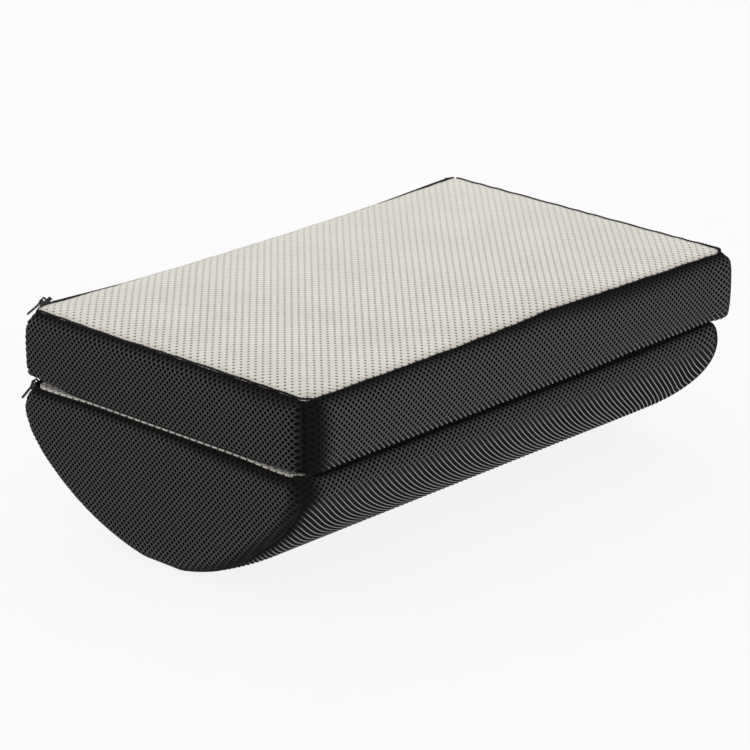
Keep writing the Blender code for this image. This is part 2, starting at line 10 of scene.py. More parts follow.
import bmesh
import bpy
import numpy as np
from mathutils import Matrix, Vector
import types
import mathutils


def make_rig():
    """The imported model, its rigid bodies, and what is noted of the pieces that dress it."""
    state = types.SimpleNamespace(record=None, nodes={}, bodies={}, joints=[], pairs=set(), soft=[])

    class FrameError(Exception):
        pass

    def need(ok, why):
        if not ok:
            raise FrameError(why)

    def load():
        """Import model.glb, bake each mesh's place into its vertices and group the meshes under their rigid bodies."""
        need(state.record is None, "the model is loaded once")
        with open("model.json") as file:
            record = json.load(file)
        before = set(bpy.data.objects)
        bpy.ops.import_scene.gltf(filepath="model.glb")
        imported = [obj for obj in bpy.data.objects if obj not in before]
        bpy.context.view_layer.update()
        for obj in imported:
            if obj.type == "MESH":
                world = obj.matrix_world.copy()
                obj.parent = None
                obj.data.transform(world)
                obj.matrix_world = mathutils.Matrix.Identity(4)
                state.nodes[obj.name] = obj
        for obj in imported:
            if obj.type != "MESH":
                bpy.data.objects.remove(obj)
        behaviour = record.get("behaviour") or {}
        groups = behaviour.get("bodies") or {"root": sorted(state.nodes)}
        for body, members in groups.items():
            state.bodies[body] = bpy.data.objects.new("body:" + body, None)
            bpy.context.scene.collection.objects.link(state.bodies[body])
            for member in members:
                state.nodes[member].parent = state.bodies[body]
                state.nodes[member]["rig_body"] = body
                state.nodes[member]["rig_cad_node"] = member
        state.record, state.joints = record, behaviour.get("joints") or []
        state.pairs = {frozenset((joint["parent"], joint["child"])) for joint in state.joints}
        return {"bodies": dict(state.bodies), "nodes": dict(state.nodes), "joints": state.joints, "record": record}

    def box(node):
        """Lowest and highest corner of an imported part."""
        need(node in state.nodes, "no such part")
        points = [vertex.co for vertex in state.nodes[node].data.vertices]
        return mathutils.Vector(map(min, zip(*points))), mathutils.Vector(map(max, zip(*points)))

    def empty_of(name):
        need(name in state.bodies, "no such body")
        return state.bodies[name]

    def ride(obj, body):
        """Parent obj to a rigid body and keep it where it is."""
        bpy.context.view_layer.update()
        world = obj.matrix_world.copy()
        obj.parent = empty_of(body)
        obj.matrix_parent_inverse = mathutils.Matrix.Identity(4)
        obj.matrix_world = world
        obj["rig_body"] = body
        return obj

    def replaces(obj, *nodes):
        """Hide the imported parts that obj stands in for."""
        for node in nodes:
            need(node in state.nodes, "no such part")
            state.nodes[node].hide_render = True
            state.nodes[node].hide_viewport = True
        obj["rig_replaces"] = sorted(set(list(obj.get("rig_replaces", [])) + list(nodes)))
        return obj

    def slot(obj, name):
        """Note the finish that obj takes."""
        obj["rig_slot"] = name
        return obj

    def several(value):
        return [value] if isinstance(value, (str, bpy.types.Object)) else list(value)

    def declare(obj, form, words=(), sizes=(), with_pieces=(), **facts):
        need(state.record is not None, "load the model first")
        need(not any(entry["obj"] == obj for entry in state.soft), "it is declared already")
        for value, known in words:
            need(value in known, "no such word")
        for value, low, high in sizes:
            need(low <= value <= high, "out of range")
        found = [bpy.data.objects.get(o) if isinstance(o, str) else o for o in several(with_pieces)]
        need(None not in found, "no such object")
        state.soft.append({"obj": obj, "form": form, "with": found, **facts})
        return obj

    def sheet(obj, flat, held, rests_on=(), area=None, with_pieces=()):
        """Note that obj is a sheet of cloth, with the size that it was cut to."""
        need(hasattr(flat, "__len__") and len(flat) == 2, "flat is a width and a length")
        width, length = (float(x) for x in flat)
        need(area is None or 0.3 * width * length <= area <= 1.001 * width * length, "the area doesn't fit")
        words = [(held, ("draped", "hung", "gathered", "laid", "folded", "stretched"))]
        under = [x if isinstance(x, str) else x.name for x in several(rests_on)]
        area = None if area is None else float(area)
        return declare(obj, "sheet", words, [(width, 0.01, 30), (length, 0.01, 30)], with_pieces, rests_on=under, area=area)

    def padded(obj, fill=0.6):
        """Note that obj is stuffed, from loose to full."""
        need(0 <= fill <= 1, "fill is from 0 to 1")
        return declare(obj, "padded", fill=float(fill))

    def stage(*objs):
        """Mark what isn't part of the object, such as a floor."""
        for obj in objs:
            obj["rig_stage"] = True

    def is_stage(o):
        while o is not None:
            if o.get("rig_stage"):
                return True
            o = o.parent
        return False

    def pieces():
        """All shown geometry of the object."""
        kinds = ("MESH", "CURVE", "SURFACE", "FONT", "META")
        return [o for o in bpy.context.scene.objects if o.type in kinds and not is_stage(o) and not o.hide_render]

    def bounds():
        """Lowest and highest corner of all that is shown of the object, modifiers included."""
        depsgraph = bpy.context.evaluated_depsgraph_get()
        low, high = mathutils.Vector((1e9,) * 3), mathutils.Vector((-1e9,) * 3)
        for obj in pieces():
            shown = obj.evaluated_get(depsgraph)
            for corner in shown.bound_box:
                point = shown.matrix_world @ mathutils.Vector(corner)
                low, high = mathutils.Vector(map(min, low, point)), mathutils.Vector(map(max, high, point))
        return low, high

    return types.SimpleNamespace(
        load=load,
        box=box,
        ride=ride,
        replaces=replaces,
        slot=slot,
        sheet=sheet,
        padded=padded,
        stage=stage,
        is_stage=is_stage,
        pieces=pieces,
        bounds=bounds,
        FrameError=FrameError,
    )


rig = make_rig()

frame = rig.load()
cad_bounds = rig.bounds()


def box_mm(node):
    """A CAD node's lowest and highest corners in millimetres."""
    return [np.array(corner) * 1000 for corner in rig.box(node)]


# ---------------------------------------------------------------- sizes read from the frame

PANEL_INSET = 2.8  # from the seam line to the CAD panel's edge

_, bolster_high = box_mm("lower_wrap_panel")
_, bolster_panel_high = box_mm("lower_top_panel")
BOLSTER_HALF_LENGTH = bolster_high[0]
BOLSTER_HALF_WIDTH = bolster_panel_high[1] + PANEL_INSET
BOLSTER_TOP = bolster_panel_high[2]
BELLY_BULGE = bolster_high[1] - BOLSTER_HALF_WIDTH

slab_low, slab_high = box_mm("upper_wrap_panel")
_, slab_panel_high = box_mm("upper_top_panel")
SLAB_HEIGHT = 52.0
SLAB_X = (slab_low[0] + slab_high[0]) / 2
SLAB_HALF_LENGTH = (slab_high[0] - slab_low[0]) / 2
SLAB_HALF_WIDTH = slab_panel_high[1] + PANEL_INSET
SLAB_BOTTOM = slab_low[2]
SLAB_TOP = SLAB_BOTTOM + SLAB_HEIGHT
SLAB_CROWN = slab_panel_high[2] - SLAB_TOP

# ---------------------------------------------------------------- the cushions' shapes

SHOULDER = 14.0  # from the bolster's flat top down to its widest level
BELLY_POWER_FRONT = 1.60  # the filled belly is a little slacker than the pattern it is cut to
BELLY_POWER_BACK = 1.71
BELLY_FLATTENING = 1.8
CORNER_RADIUS = 8.0
BOLSTER_PANEL_CORNER = 12.0

# Side of the slab: depth below the seam, and how far it stands out past it
SLAB_SIDE = (
    (1.2, 0.4), (4.5, 4.2), (10, 6.4), (18, 7.3), (28, 7.5),
    (38, 7.2), (45.5, 6.5), (49.4, 5.4), (51.5, 2.6), (52, -2.0),
)
# Lip of a cover's back edge along the zip: the same two sizes, from the zip down
LIP = ((6.0, 2.6), (6.4, 3.9), (8.0, 5.4), (11, 6.6))
SLAB_LIP_REACH = 15.0  # how far below the top the lip takes over from the section
BOLSTER_LIP_REACH = 17.0

# How far the slab's front seam strays from level along its length, from the left end to the right
FRONT_SEAM = (
    (-215, -0.2), (-140, -0.3), (-70, 0.0), (-20, 1.2), (25, 3.0),
    (60, 2.0), (110, 1.2), (160, 0.4), (215, -0.4),
)
BACK_SEAM_SAG = 3.0
# Edges that rise along X, as smooth steps: (from, over, by)
FRONT_HEM = ((60, 60, 1.1), (140, 50, 0.5), (188, 24, -1.8))  # the slab's bottom edge at the front
BOLSTER_RIGHT_RISE = ((110, 80, 1.8), (185, 20, 0.9))  # the bolster's top edge at the right of its front
BOLSTER_LEFT_RISE = 1.2  # the same along its left end
BOLSTER_LEFT_CROWN = 1.5  # and so much more away from that end's corners
LEFT_HEM_RISE = 2.4  # the slab's bottom edge at its left end, from the front to the back
LEFT_HEM_SAG = 1.0  # and how low it starts at the front

RIGHT_STRETCH = 4.5  # the slab's foam pushes its right end out past the seam
BOLSTER_STRETCH = 4.0  # the same for the bolster
LEFT_STRETCH = 5.0  # the slab's left end, away from its two corners
STRETCH_DEPTH = 9.0  # below the top seam, over which the slab's ends come to that
SLAB_STRETCH_LENGTH = 22.0  # from the end, over which the cover follows
BOLSTER_STRETCH_LENGTH = 24.0
SLAB_END_SWELL = {-1: 7.6, 1: 5.5}  # how far the left and the right end stand out
BOLSTER_END_SWELL = 5.0
BOLSTER_LEFT_SWELL = 1.8  # so much more near the top of the left end

FAR_CORNER_TUCK = 3.5  # how far the slab's corners are drawn in, but for the near left one
BOLSTER_TUCK = (7.0, 0.5)  # the near left corner, and the others
BOLSTER_END_ROUND = 16.0
BOLSTER_END_INWARD = 2.0
BELLY_SKEW = 14.0  # how far the ribs lean to the right across the belly

SLAB_PANEL_HALF = (SLAB_HALF_LENGTH + 0.6, SLAB_HALF_WIDTH + 0.2)
BOLSTER_PANEL_HALF = (BOLSTER_HALF_LENGTH + 0.4, BOLSTER_HALF_WIDTH)
BACK_TUCK = 1.2  # a top panel stops this far short at the back, over the zip
FRONT_TUCK = 3.0  # the bolster's panel at the front, under the slab
RIM_GAP = 0.35  # an end's cells closer than this to its rim are left out

FOAM_END_ROOM = 3.0  # from the cover's end to the foam
FOAM_SIDE_ROOM = {"slab": 4.5, "bolster": 4.2}

# ---------------------------------------------------------------- cloth, seams, zips and strips

# The air mesh: a diamond lattice of holes. Periods along and across the long side of the cloth
HOLE_PITCH_ALONG = 4.67
HOLE_PITCH_ACROSS = 4.48
HOLE_DEPTH = 0.95
RIB_HEIGHT = 0.32
BRIDGE_DEPTH = 0.14

# The perforated cloth: square lattice of holes on the diagonal
PERFORATION_PITCH = 4.79
PERFORATION_RADIUS = 0.95
PERFORATION_DEPTH = 0.70

# A seam cord's radius, and how far it lies below the top panel's edge: along the front, left and right
UPPER_CORD = {"radius": (0.55, 0.7, 1.05), "below": (1.0, 0.6, 0.3)}
# The bolster's cord is thick and stands above the panel's edge along the front: partly a seam cord, partly a dark band
# put in the shade under the slab.
LOWER_CORD = {"radius": (1.45, 0.40, 1.0), "below": (-1.6, 1.1, 0.3)}
STITCH_PITCH = 2.7
STITCH_RADIUS = 0.2
PALE_STITCH_RADIUS = 0.18
WELT_RADIUS = 0.6
WELT_INSET = 0.35

ZIP_TILT = math.radians(50)
DOWN = np.array([0.0, math.cos(ZIP_TILT), -math.sin(ZIP_TILT)])
OUTWARD = np.array([0.0, math.sin(ZIP_TILT), math.cos(ZIP_TILT)])
# Each half of the tape in section: down from the teeth, and out
TAPE_PATHS = {
    "top": ((-0.7, -1.0), (-1.8, -1.0), (-3.0, -0.9), (-4.6, -0.5)),
    "bottom": ((0.7, -1.0), (1.8, -1.0), (3.0, -1.0), (4.6, -1.6), (6.2, -2.6)),
}
TAPE_THICKNESS = 0.5
TAPE_OVERRUN = 6.0  # past the teeth at both ends
TAPE_STEP = 0.6
TOOTH_PITCH = 1.3
TOOTH_STEPS = 12  # points to a turn of the coil
TOOTH_OFFSET = 0.95  # from the zip's middle to each coil's
TOOTH_HALF_WIDTH = 1.15
TOOTH_LEVEL = 0.15
TOOTH_HALF_HEIGHT = 0.65
TOOTH_RADIUS = 0.3
SLIDER_RISE = {"upper": 1.8, "lower": 0.4}  # the zip rides up at both of its ends
SLIDER_REACH = {"upper": -1.0, "lower": -2.5}  # along X, from the CAD slider's place
SLIDER_TILT = {"upper": 26, "lower": 12}  # degrees its nose hangs down over the cushion's end
TAB_DROOP = {"upper": -8, "lower": 10}  # degrees the tab hangs below that

STRIP_STEP = 0.5
STRIP_BASE = 0.35  # thickness of the woven back; hooks or pile make up the rest
STRIP_CORNER = 4.0
STRIP_SEED = 7
HOOK_PITCH = 1.5
HOOK_MARGIN = 2.6
# A hook from its foot up: share of the height, half its thickness, and how far it leans
HOOK_RINGS = ((0.0, 0.26, 0.0), (0.6, 0.16, 0.12), (0.85, 0.26, 0.30), (1.0, 0.14, 0.42))

# ---------------------------------------------------------------- studio and camera, in metres

FLOOR_SIZE = 8.0
FLOOR_LEVEL = -0.0002
FLOOR_GLOW = 0.875
WORLD_GREY = 0.956
# Name, place, what it points at, watts and side
LIGHTS = (
    ("key", (0.7, 1.1, 1.2), (0.1, 0.1, 0.15), 6.0, 0.9),
    ("table_glow", (0.35, -0.6, -0.9), (0.05, -0.05, 0.05), 13.0, 1.2),
)
CAMERA_AZIMUTH = math.radians(-46.62)
CAMERA_ELEVATION = math.radians(19.51)
CAMERA_DISTANCE = 2.529
CAMERA_ANGLE = math.radians(12.0)
CAMERA_SHIFT = (-0.01553, -0.03716)


def smooth_step(t):
    t = np.clip(t, 0.0, 1.0)
    return t * t * (3.0 - 2.0 * t)


def steps(x, table):
    """A sum of smooth steps, each (from, over, by)."""
    return sum(by * smooth_step((x - start) / over) for start, over, by in table)


def bump(x, centre, width):
    """A smooth hill of height 1."""
    return np.exp(-(((x - centre) / width) ** 2))


# ---------------------------------------------------------------- materials


def rgba(colour):
    """A colour with its alpha. A single number is a grey."""
    return (*colour, 1.0) if isinstance(colour, tuple) else (colour, colour, colour, 1.0)


class Nodes:
    """Short names for building a material's node tree."""

    def __init__(self, name):
        self.material = bpy.data.materials.new(name)
        self.material.use_nodes = True
        self.tree = self.material.node_tree
        self.shader = self.tree.nodes["Principled BSDF"]

    def node(self, kind, **settings):
        made = self.tree.nodes.new(kind)
        for key, value in settings.items():
            setattr(made, key, value)
        return made

    def put(self, value, target):
        """Links a socket to the target, or sets a plain value on it."""
        if isinstance(value, bpy.types.NodeSocket):
            self.tree.links.new(value, target)
        else:
            target.default_value = value

    def shade(self, values):
        """Puts each value on the shader's input of that name."""
        for name, value in values.items():
            self.put(value, self.shader.inputs[name])

    def math(self, operation, a, b=0.0):
        made = self.node("ShaderNodeMath", operation=operation)
        self.put(a, made.inputs[0])
        self.put(b, made.inputs[1])
        return made.outputs[0]

    def times(self, a, b):
        return self.math("MULTIPLY", a, b)

    def plus(self, a, b):
        return self.math("ADD", a, b)

    def less(self, a, b):
        return self.math("SUBTRACT", a, b)

    def ramp(self, value, low, high, to_low=0.0, to_high=1.0):
        made = self.node("ShaderNodeMapRange", interpolation_type="SMOOTHSTEP")
        inputs = ("Value", "From Min", "From Max", "To Min", "To Max")
        for name, setting in zip(inputs, (value, low, high, to_low, to_high)):
            self.put(setting, made.inputs[name])
        return made.outputs["Result"]

    def mix(self, factor, a, b):
        """Colours a and b mixed, each a socket, a tuple or one number for a grey."""
        made = self.node("ShaderNodeMix", data_type="RGBA")
        self.put(factor, made.inputs[0])
        for colour, target in ((a, made.inputs[6]), (b, made.inputs[7])):
            self.put(colour if isinstance(colour, bpy.types.NodeSocket) else rgba(colour), target)
        return made.outputs[2]

    def position(self):
        return self.node("ShaderNodeTexCoord").outputs["Object"]

    def split(self, vector):
        made = self.node("ShaderNodeSeparateXYZ")
        self.put(vector, made.inputs[0])
        return made.outputs

    def noise(self, scale, detail=2.0):
        made = self.node("ShaderNodeTexNoise")
        self.put(scale, made.inputs["Scale"])
        self.put(detail, made.inputs["Detail"])
        self.put(self.position(), made.inputs["Vector"])
        return made.outputs[0]

    def bump(self, height, distance, strength):
        made = self.node("ShaderNodeBump")
        self.put(height, made.inputs["Height"])
        self.put(distance, made.inputs["Distance"])
        self.put(strength, made.inputs["Strength"])
        self.put(made.outputs["Normal"], self.shader.inputs["Normal"])

    def weave(self):
        """The cloth's own coordinates: two lattice phases, and a third value. For the air mesh it is how loose it
        lies, which also sets its painted seam shade (1 free, 0 at a seam). For the perforated cloth it is how little
        painted edge shade and corner darkening it takes.
        """
        return self.split(self.node("ShaderNodeAttribute", attribute_name="weave").outputs["Vector"])

    def stretch_and_highlight(self):
        """1 where the cloth is stretched so far that its cross ribs sink between the main ones, and where the air mesh
        is painted with lighter ribs and darker grooves as highlight and shade from the light below.
        """
        return self.node("ShaderNodeAttribute", attribute_name="stretch_and_highlight").outputs["Fac"]

    def wave(self, phase):
        """0 where the phase is whole, 1 half way between."""
        cosine = self.math("COSINE", self.times(phase, 2 * math.pi))
        return self.less(0.5, self.times(cosine, 0.5))


def air_mesh_material():
    """Black spacer mesh: light ribs round dark holes, which stretching draws out into long grooves. The holes' near
    black is painted shade, the ribs' grey is partly painted sheen, the dark band along seams is painted shade, and on
    the stretched belly the lighter ribs and darker grooves are painted highlight and shade from the light below.
    """
    m = Nodes("air_mesh")
    first, second, slack_and_seam_shade = m.weave()
    stretch_and_highlight = m.stretch_and_highlight()
    rib = m.wave(first)
    bridge = m.times(m.wave(second), m.less(1.0, m.times(stretch_and_highlight, 0.92)))
    hole = m.times(m.less(1.0, rib), m.less(1.0, bridge))
    # Painted shade: the holes are coloured near black and lose their shine.
    hole_shade_mask = m.times(m.ramp(hole, 0.15, 0.42), m.less(1.0, m.times(stretch_and_highlight, 0.8)))
    line = m.math("POWER", rib, m.plus(1.0, m.times(stretch_and_highlight, 1.5)))
    thread_mask = m.ramp(m.math("MAXIMUM", line, m.times(bridge, 0.97)), 0.64, 1.0)
    threads = m.noise(2600.0)
    patches = m.noise(22.0, 3.0)
    # The ribs' lighter grey is partly the threads' own colour and partly painted sheen.
    light = m.mix(threads, (0.038, 0.038, 0.039), (0.092, 0.092, 0.094))
    # Painted highlight: on the stretched belly the ribs are coloured lighter, as if lit from below.
    light = m.mix(m.times(stretch_and_highlight, 0.75), light, 0.30)
    field = m.mix(m.ramp(patches, 0.3, 0.7), (0.010, 0.010, 0.0105), (0.0145, 0.0145, 0.015))
    # Painted shade: the grooves between them are coloured darker.
    field = m.mix(m.times(stretch_and_highlight, 0.2), field, 0.002)
    cloth = m.mix(hole_shade_mask, m.mix(thread_mask, field, light), 0.0012)
    # Painted shade: near seams the mesh is coloured flat and dark, as if shaded under the seam's overhang.
    painted_seam_shade = m.mix(hole_shade_mask, (0.0085, 0.0085, 0.0088), 0.0055)
    shine = m.times(m.less(1.0, hole_shade_mask), m.plus(slack_and_seam_shade, 0.2))
    shine = m.times(shine, m.less(1.0, stretch_and_highlight))
    m.shade(
        {
            "Base Color": m.mix(slack_and_seam_shade, painted_seam_shade, cloth),
            "Specular IOR Level": m.times(shine, 0.12),
            "Sheen Weight": m.times(shine, 0.03),
            "Roughness": 0.75,
            "Sheen Roughness": 0.4,
        }
    )
    m.bump(m.times(slack_and_seam_shade, m.plus(thread_mask, m.times(threads, 0.3))), 0.0003, 0.6)
    return m.material


def perforated_material():
    """Cream knit with rows of holes painted dark as shade in their pits, darker along an edge with painted shade, and
    darker in a patch at one corner.
    """
    m = Nodes("perforated_cloth")
    first, second, undarkened = m.weave()
    along = m.less(m.math("FRACT", m.plus(first, 0.5)), 0.5)
    across = m.less(m.math("FRACT", m.plus(second, 0.5)), 0.5)
    squares = m.plus(m.times(along, along), m.times(across, across))
    radius = m.times(m.math("SQRT", squares), PERFORATION_PITCH)
    hole = m.ramp(radius, 0.70, 1.10, 1.0, 0.0)
    row = m.ramp(m.math("ABSOLUTE", along), 0.10, 0.34, 1.0, 0.0)
    knit = m.times(m.wave(m.times(second, 6.0)), m.wave(m.times(first, 5.0)))
    fuzz = m.noise(2400.0)
    speckle = m.noise(900.0, 3.0)
    patches = m.noise(14.0, 3.0)
    base = m.mix(m.ramp(patches, 0.35, 0.65), (0.70, 0.675, 0.61), (0.745, 0.72, 0.655))
    base = m.mix(m.times(m.plus(knit, fuzz), 0.16), base, (0.50, 0.475, 0.42))
    base = m.mix(m.ramp(speckle, 0.45, 0.75, 0.0, 0.30), base, (0.42, 0.39, 0.34))
    base = m.mix(m.times(row, 0.12), base, (0.47, 0.43, 0.37))
    # Painted shade along the edge, where the panel rolls down into its seam, and a darker patch at one corner.
    edge_shade_and_dark_corner = m.times(m.less(1.0, undarkened), m.ramp(speckle, 0.35, 0.65, 0.2, 0.75))
    base = m.mix(edge_shade_and_dark_corner, base, (0.30, 0.265, 0.215))
    # Painted shade: the holes are coloured dark brown, strongest at the front left and fainter towards the back right.
    x, y, _ = m.split(m.position())
    hole_shade_strength = m.ramp(m.plus(y, m.times(x, 0.5)), -0.12, 0.22, 0.97, 0.45)
    m.shade(
        {
            "Base Color": m.mix(m.times(hole, hole_shade_strength), base, (0.060, 0.046, 0.036)),
            "Roughness": 0.9,
            "Sheen Weight": 0.15,
            "Specular IOR Level": 0.2,
        }
    )
    m.bump(m.plus(knit, m.times(fuzz, 0.5)), 0.00025, 0.5)
    return m.material


def foam_material():
    m = Nodes("foam")
    cells = m.node("ShaderNodeTexVoronoi", feature="F1")
    m.put(900.0, cells.inputs["Scale"])
    m.put(m.position(), cells.inputs["Vector"])
    # Painted shade: the pores are coloured darker in their hollows.
    pore = m.ramp(cells.outputs["Distance"], 0.1, 0.6)
    base = m.mix(m.noise(18.0), (0.78, 0.73, 0.57), (0.84, 0.80, 0.66))
    m.shade({"Base Color": m.mix(pore, (0.45, 0.40, 0.28), base), "Roughness": 0.95})
    m.bump(pore, 0.0004, 0.5)
    return m.material


def thread_material(name, dark, light):
    m = Nodes(name)
    twist = m.noise(3500.0)
    m.shade(
        {
            "Base Color": m.mix(twist, dark, light),
            "Roughness": 0.8,
            "Sheen Weight": 0.03,
            "Specular IOR Level": 0.1,
        }
    )
    m.bump(twist, 0.0002, 0.5)
    return m.material


def tape_material():
    m = Nodes("zip_tape")
    x, _, z = m.split(m.position())
    check = m.times(m.wave(m.times(x, 1400.0)), m.wave(m.times(z, 1800.0)))
    colour = m.mix(m.times(check, m.noise(2500.0)), (0.010, 0.010, 0.011), (0.045, 0.045, 0.047))
    m.shade({"Base Color": colour, "Roughness": 0.85})
    m.bump(check, 0.0002, 0.6)
    return m.material


def plastic_material():
    m = Nodes("zip_plastic")
    scratches = m.noise(900.0, 3.0)
    colour = m.mix(scratches, (0.010, 0.010, 0.011), (0.022, 0.022, 0.023))
    m.shade({"Base Color": colour, "Roughness": m.ramp(scratches, 0.3, 0.7, 0.35, 0.5)})
    m.bump(scratches, 0.00005, 0.3)
    return m.material


def metal_material():
    """Black enamel, worn grey in patches."""
    m = Nodes("zip_metal")
    wear = m.noise(700.0, 4.0)
    colour = m.mix(m.ramp(wear, 0.58, 0.72), (0.004, 0.004, 0.0045), (0.03, 0.029, 0.028))
    roughness = m.ramp(wear, 0.3, 0.7, 0.28, 0.45)
    m.shade({"Base Color": colour, "Roughness": roughness, "Specular IOR Level": 0.35})
    m.bump(m.noise(5000.0), 0.00003, 0.25)
    return m.material


def hook_material():
    m = Nodes("hook_and_loop")
    pile = m.noise(1500.0, 3.0)
    colour = m.mix(pile, (0.008, 0.008, 0.009), (0.05, 0.05, 0.052))
    m.shade({"Base Color": colour, "Roughness": 0.9, "Sheen Weight": 0.3})
    m.bump(pile, 0.0005, 0.8)
    return m.material


def floor_material():
    """A pale table lit from inside, so it stays almost free of shadow."""
    m = Nodes("studio_floor")
    m.shade(
        {
            "Base Color": m.mix(m.noise(40.0), 0.075, 0.085),
            "Specular IOR Level": 0.0,
            "Roughness": 0.9,
            "Emission Color": rgba(1.0),
            "Emission Strength": FLOOR_GLOW,
        }
    )
    return m.material


AIR_MESH = air_mesh_material()
PERFORATED = perforated_material()
FOAM = foam_material()
THREAD = thread_material("seam_thread", 0.003, 0.009)
STITCH = thread_material("stitch_thread", 0.03, 0.11)
TAPE = tape_material()
PLASTIC = plastic_material()
METAL = metal_material()
HOOK = hook_material()


# ---------------------------------------------------------------- meshes


def add_object(name, data):
    obj = bpy.data.objects.new(name, data)
    bpy.context.scene.collection.objects.link(obj)
    return obj


def make_mesh(name, points, faces, material, weave=None, stretch_and_highlight=None):
    """An object from points in millimetres. weave and the stretching mask are what the cloth materials read; the mask
    also paints highlight and shade on the air mesh.
    """
    mesh = bpy.data.meshes.new(name)
    mesh.from_pydata((np.asarray(points) * 0.001).tolist(), [], [list(map(int, f)) for f in faces])
    if weave is not None:
        attribute = mesh.attributes.new("weave", "FLOAT_VECTOR", "POINT")
        attribute.data.foreach_set("vector", weave.astype(np.float32).ravel())
    if stretch_and_highlight is not None:
        attribute = mesh.attributes.new("stretch_and_highlight", "FLOAT", "POINT")
        attribute.data.foreach_set("value", stretch_and_highlight.astype(np.float32))
    mesh.materials.append(material)
    mesh.shade_smooth()
    return add_object(name, mesh)


def finish_piece(obj, body, slot, *nodes):
    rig.ride(obj, body)
    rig.slot(obj, slot)
    if nodes:
        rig.replaces(obj, *nodes)


def grid_quads(index):
    """The faces of a grid of point numbers."""
    corners = [index[:-1, :-1], index[1:, :-1], index[1:, 1:], index[:-1, 1:]]
    return np.stack(corners, -1).reshape(-1, 4)


def keep_used(points, faces):
    """Drops the points that no face has."""
    used = np.unique(np.concatenate(faces))
    renumber = np.full(len(points), -1)
    renumber[used] = np.arange(len(used))
    return points[used], [renumber[face].tolist() for face in faces]


def lattice(columns, rows):
    """Points (i, j) with i + j even, and the diamonds between them."""
    index = np.full((columns + 1, rows + 1), -1)
    i, j = np.meshgrid(np.arange(columns + 1), np.arange(rows + 1), indexing="ij")
    even = (i + j) % 2 == 0
    index[even] = np.arange(even.sum())
    faces = []
    for x, y in zip(i[~even], j[~even]):
        ring = [(x - 1, y), (x, y - 1), (x + 1, y), (x, y + 1)]
        faces.append([index[p] for p in ring if 0 <= p[0] <= columns and 0 <= p[1] <= rows])
    return i[even], j[even], [f for f in faces if len(f) > 2]


def normals_of(surface, u, v, step=0.5):
    across = surface(u + step, v) - surface(u - step, v)
    down = surface(u, v + step) - surface(u, v - step)
    normal = np.cross(down, across)
    return normal / np.linalg.norm(normal, axis=1)[:, None]


def mesh_relief(first, second, stretch_and_highlight=0.0):
    """Height of the air mesh above the cloth's middle, in millimetres, from its two lattice phases."""
    rib = 0.5 - 0.5 * np.cos(2 * np.pi * first)
    bridge = (0.5 - 0.5 * np.cos(2 * np.pi * second)) * (1 - 0.9 * stretch_and_highlight)
    hole = (1 - rib) * (1 - bridge) * (1 - 0.8 * stretch_and_highlight)
    return RIB_HEIGHT * rib - BRIDGE_DEPTH * (1 - rib) - (HOLE_DEPTH - BRIDGE_DEPTH) * hole


def mesh_cloth(name, surface, length, width, slack_and_seam_shade, stretch_and_highlight, hem=2.0):
    """Air mesh over surface(u, v): u runs along the ribs' long side, v across it."""
    columns = 4 * round(length / HOLE_PITCH_ALONG)
    rows = 2 * round(width / HOLE_PITCH_ACROSS * 2)
    i, j, faces = lattice(columns, rows)
    u = i * length / columns
    v = j * width / rows
    first = (i - j) / 4
    second = (i + j) / 4
    ease_and_seam_shade, taut_and_highlit = slack_and_seam_shade(u, v), stretch_and_highlight(v)
    normal = normals_of(surface, u, v)
    points = surface(u, v) + normal * (ease_and_seam_shade * mesh_relief(first, second, taut_and_highlit))[:, None]
    points, faces, rim = add_hem(points, faces, normal, i, j, columns, rows, hem)
    weave = np.stack([first, second, ease_and_seam_shade], 1)
    weave = np.concatenate([weave, weave[rim]])
    return make_mesh(name, points, faces, AIR_MESH, weave, np.concatenate([taut_and_highlit, taut_and_highlit[rim]]))


def add_hem(points, faces, normal, i, j, columns, rows, depth):
    """Turns a sheet's edge inwards for a rim instead of a knife edge. Also returns the edge's points."""
    order = []
    sides = ((j == 0, i, 1), (i == columns, j, 1), (j == rows, i, -1), (i == 0, j, -1))
    for on_side, along, direction in sides:
        members = np.nonzero(on_side)[0]
        members = members[np.argsort(along[members] * direction)]
        order.extend(members[:-1] if len(members) > 1 else members)
    order = np.array(order)
    new = len(points) + np.arange(len(order))
    points = np.concatenate([points, points[order] - normal[order] * depth])
    for k in range(len(order)):
        n = (k + 1) % len(order)
        faces.append([order[k], new[k], new[n], order[n]])
    return points, faces, order


# ---------------------------------------------------------------- the sections of the two cushions


def dense_profile(points, steps=12):
    """A smooth line (Catmull-Rom) through the control points."""
    p = np.array(points, float)
    p = np.concatenate([[2 * p[0] - p[1]], p, [2 * p[-1] - p[-2]]])
    t = np.linspace(0, 1, steps, endpoint=False)[:, None]
    out = []
    for k in range(1, len(p) - 2):
        a, b, c, d = p[k - 1 : k + 3]
        square = 2 * a - 5 * b + 4 * c - d
        cube = 3 * b - a - 3 * c + d
        out.append(0.5 * (2 * b + (c - a) * t + square * t**2 + cube * t**3))
    return np.concatenate(out + [p[-2:-1]])


def by_arc(line):
    """A function from the distance along the line to its points, and the line's length."""
    along = np.concatenate([[0], np.cumsum(np.linalg.norm(np.diff(line, axis=0), axis=1))])

    def at(s):
        return np.stack([np.interp(s, along, line[:, k]) for k in range(line.shape[1])], -1)

    return at, along[-1]


def resample(line, step):
    at, length = by_arc(line)
    return at(np.linspace(0, length, max(2, int(length / step) + 1)))


def slab_line():
    """Half of the slab's section, from the front seam down and under to the middle: (out, z)."""
    side = [(-SLAB_HALF_WIDTH - out, SLAB_TOP - depth) for depth, out in SLAB_SIDE]
    side.append((-SLAB_HALF_WIDTH + 30, SLAB_BOTTOM))
    side.append((-SLAB_HALF_WIDTH + 60, SLAB_BOTTOM))
    return np.concatenate([dense_profile(side), [(0.0, SLAB_BOTTOM)]])


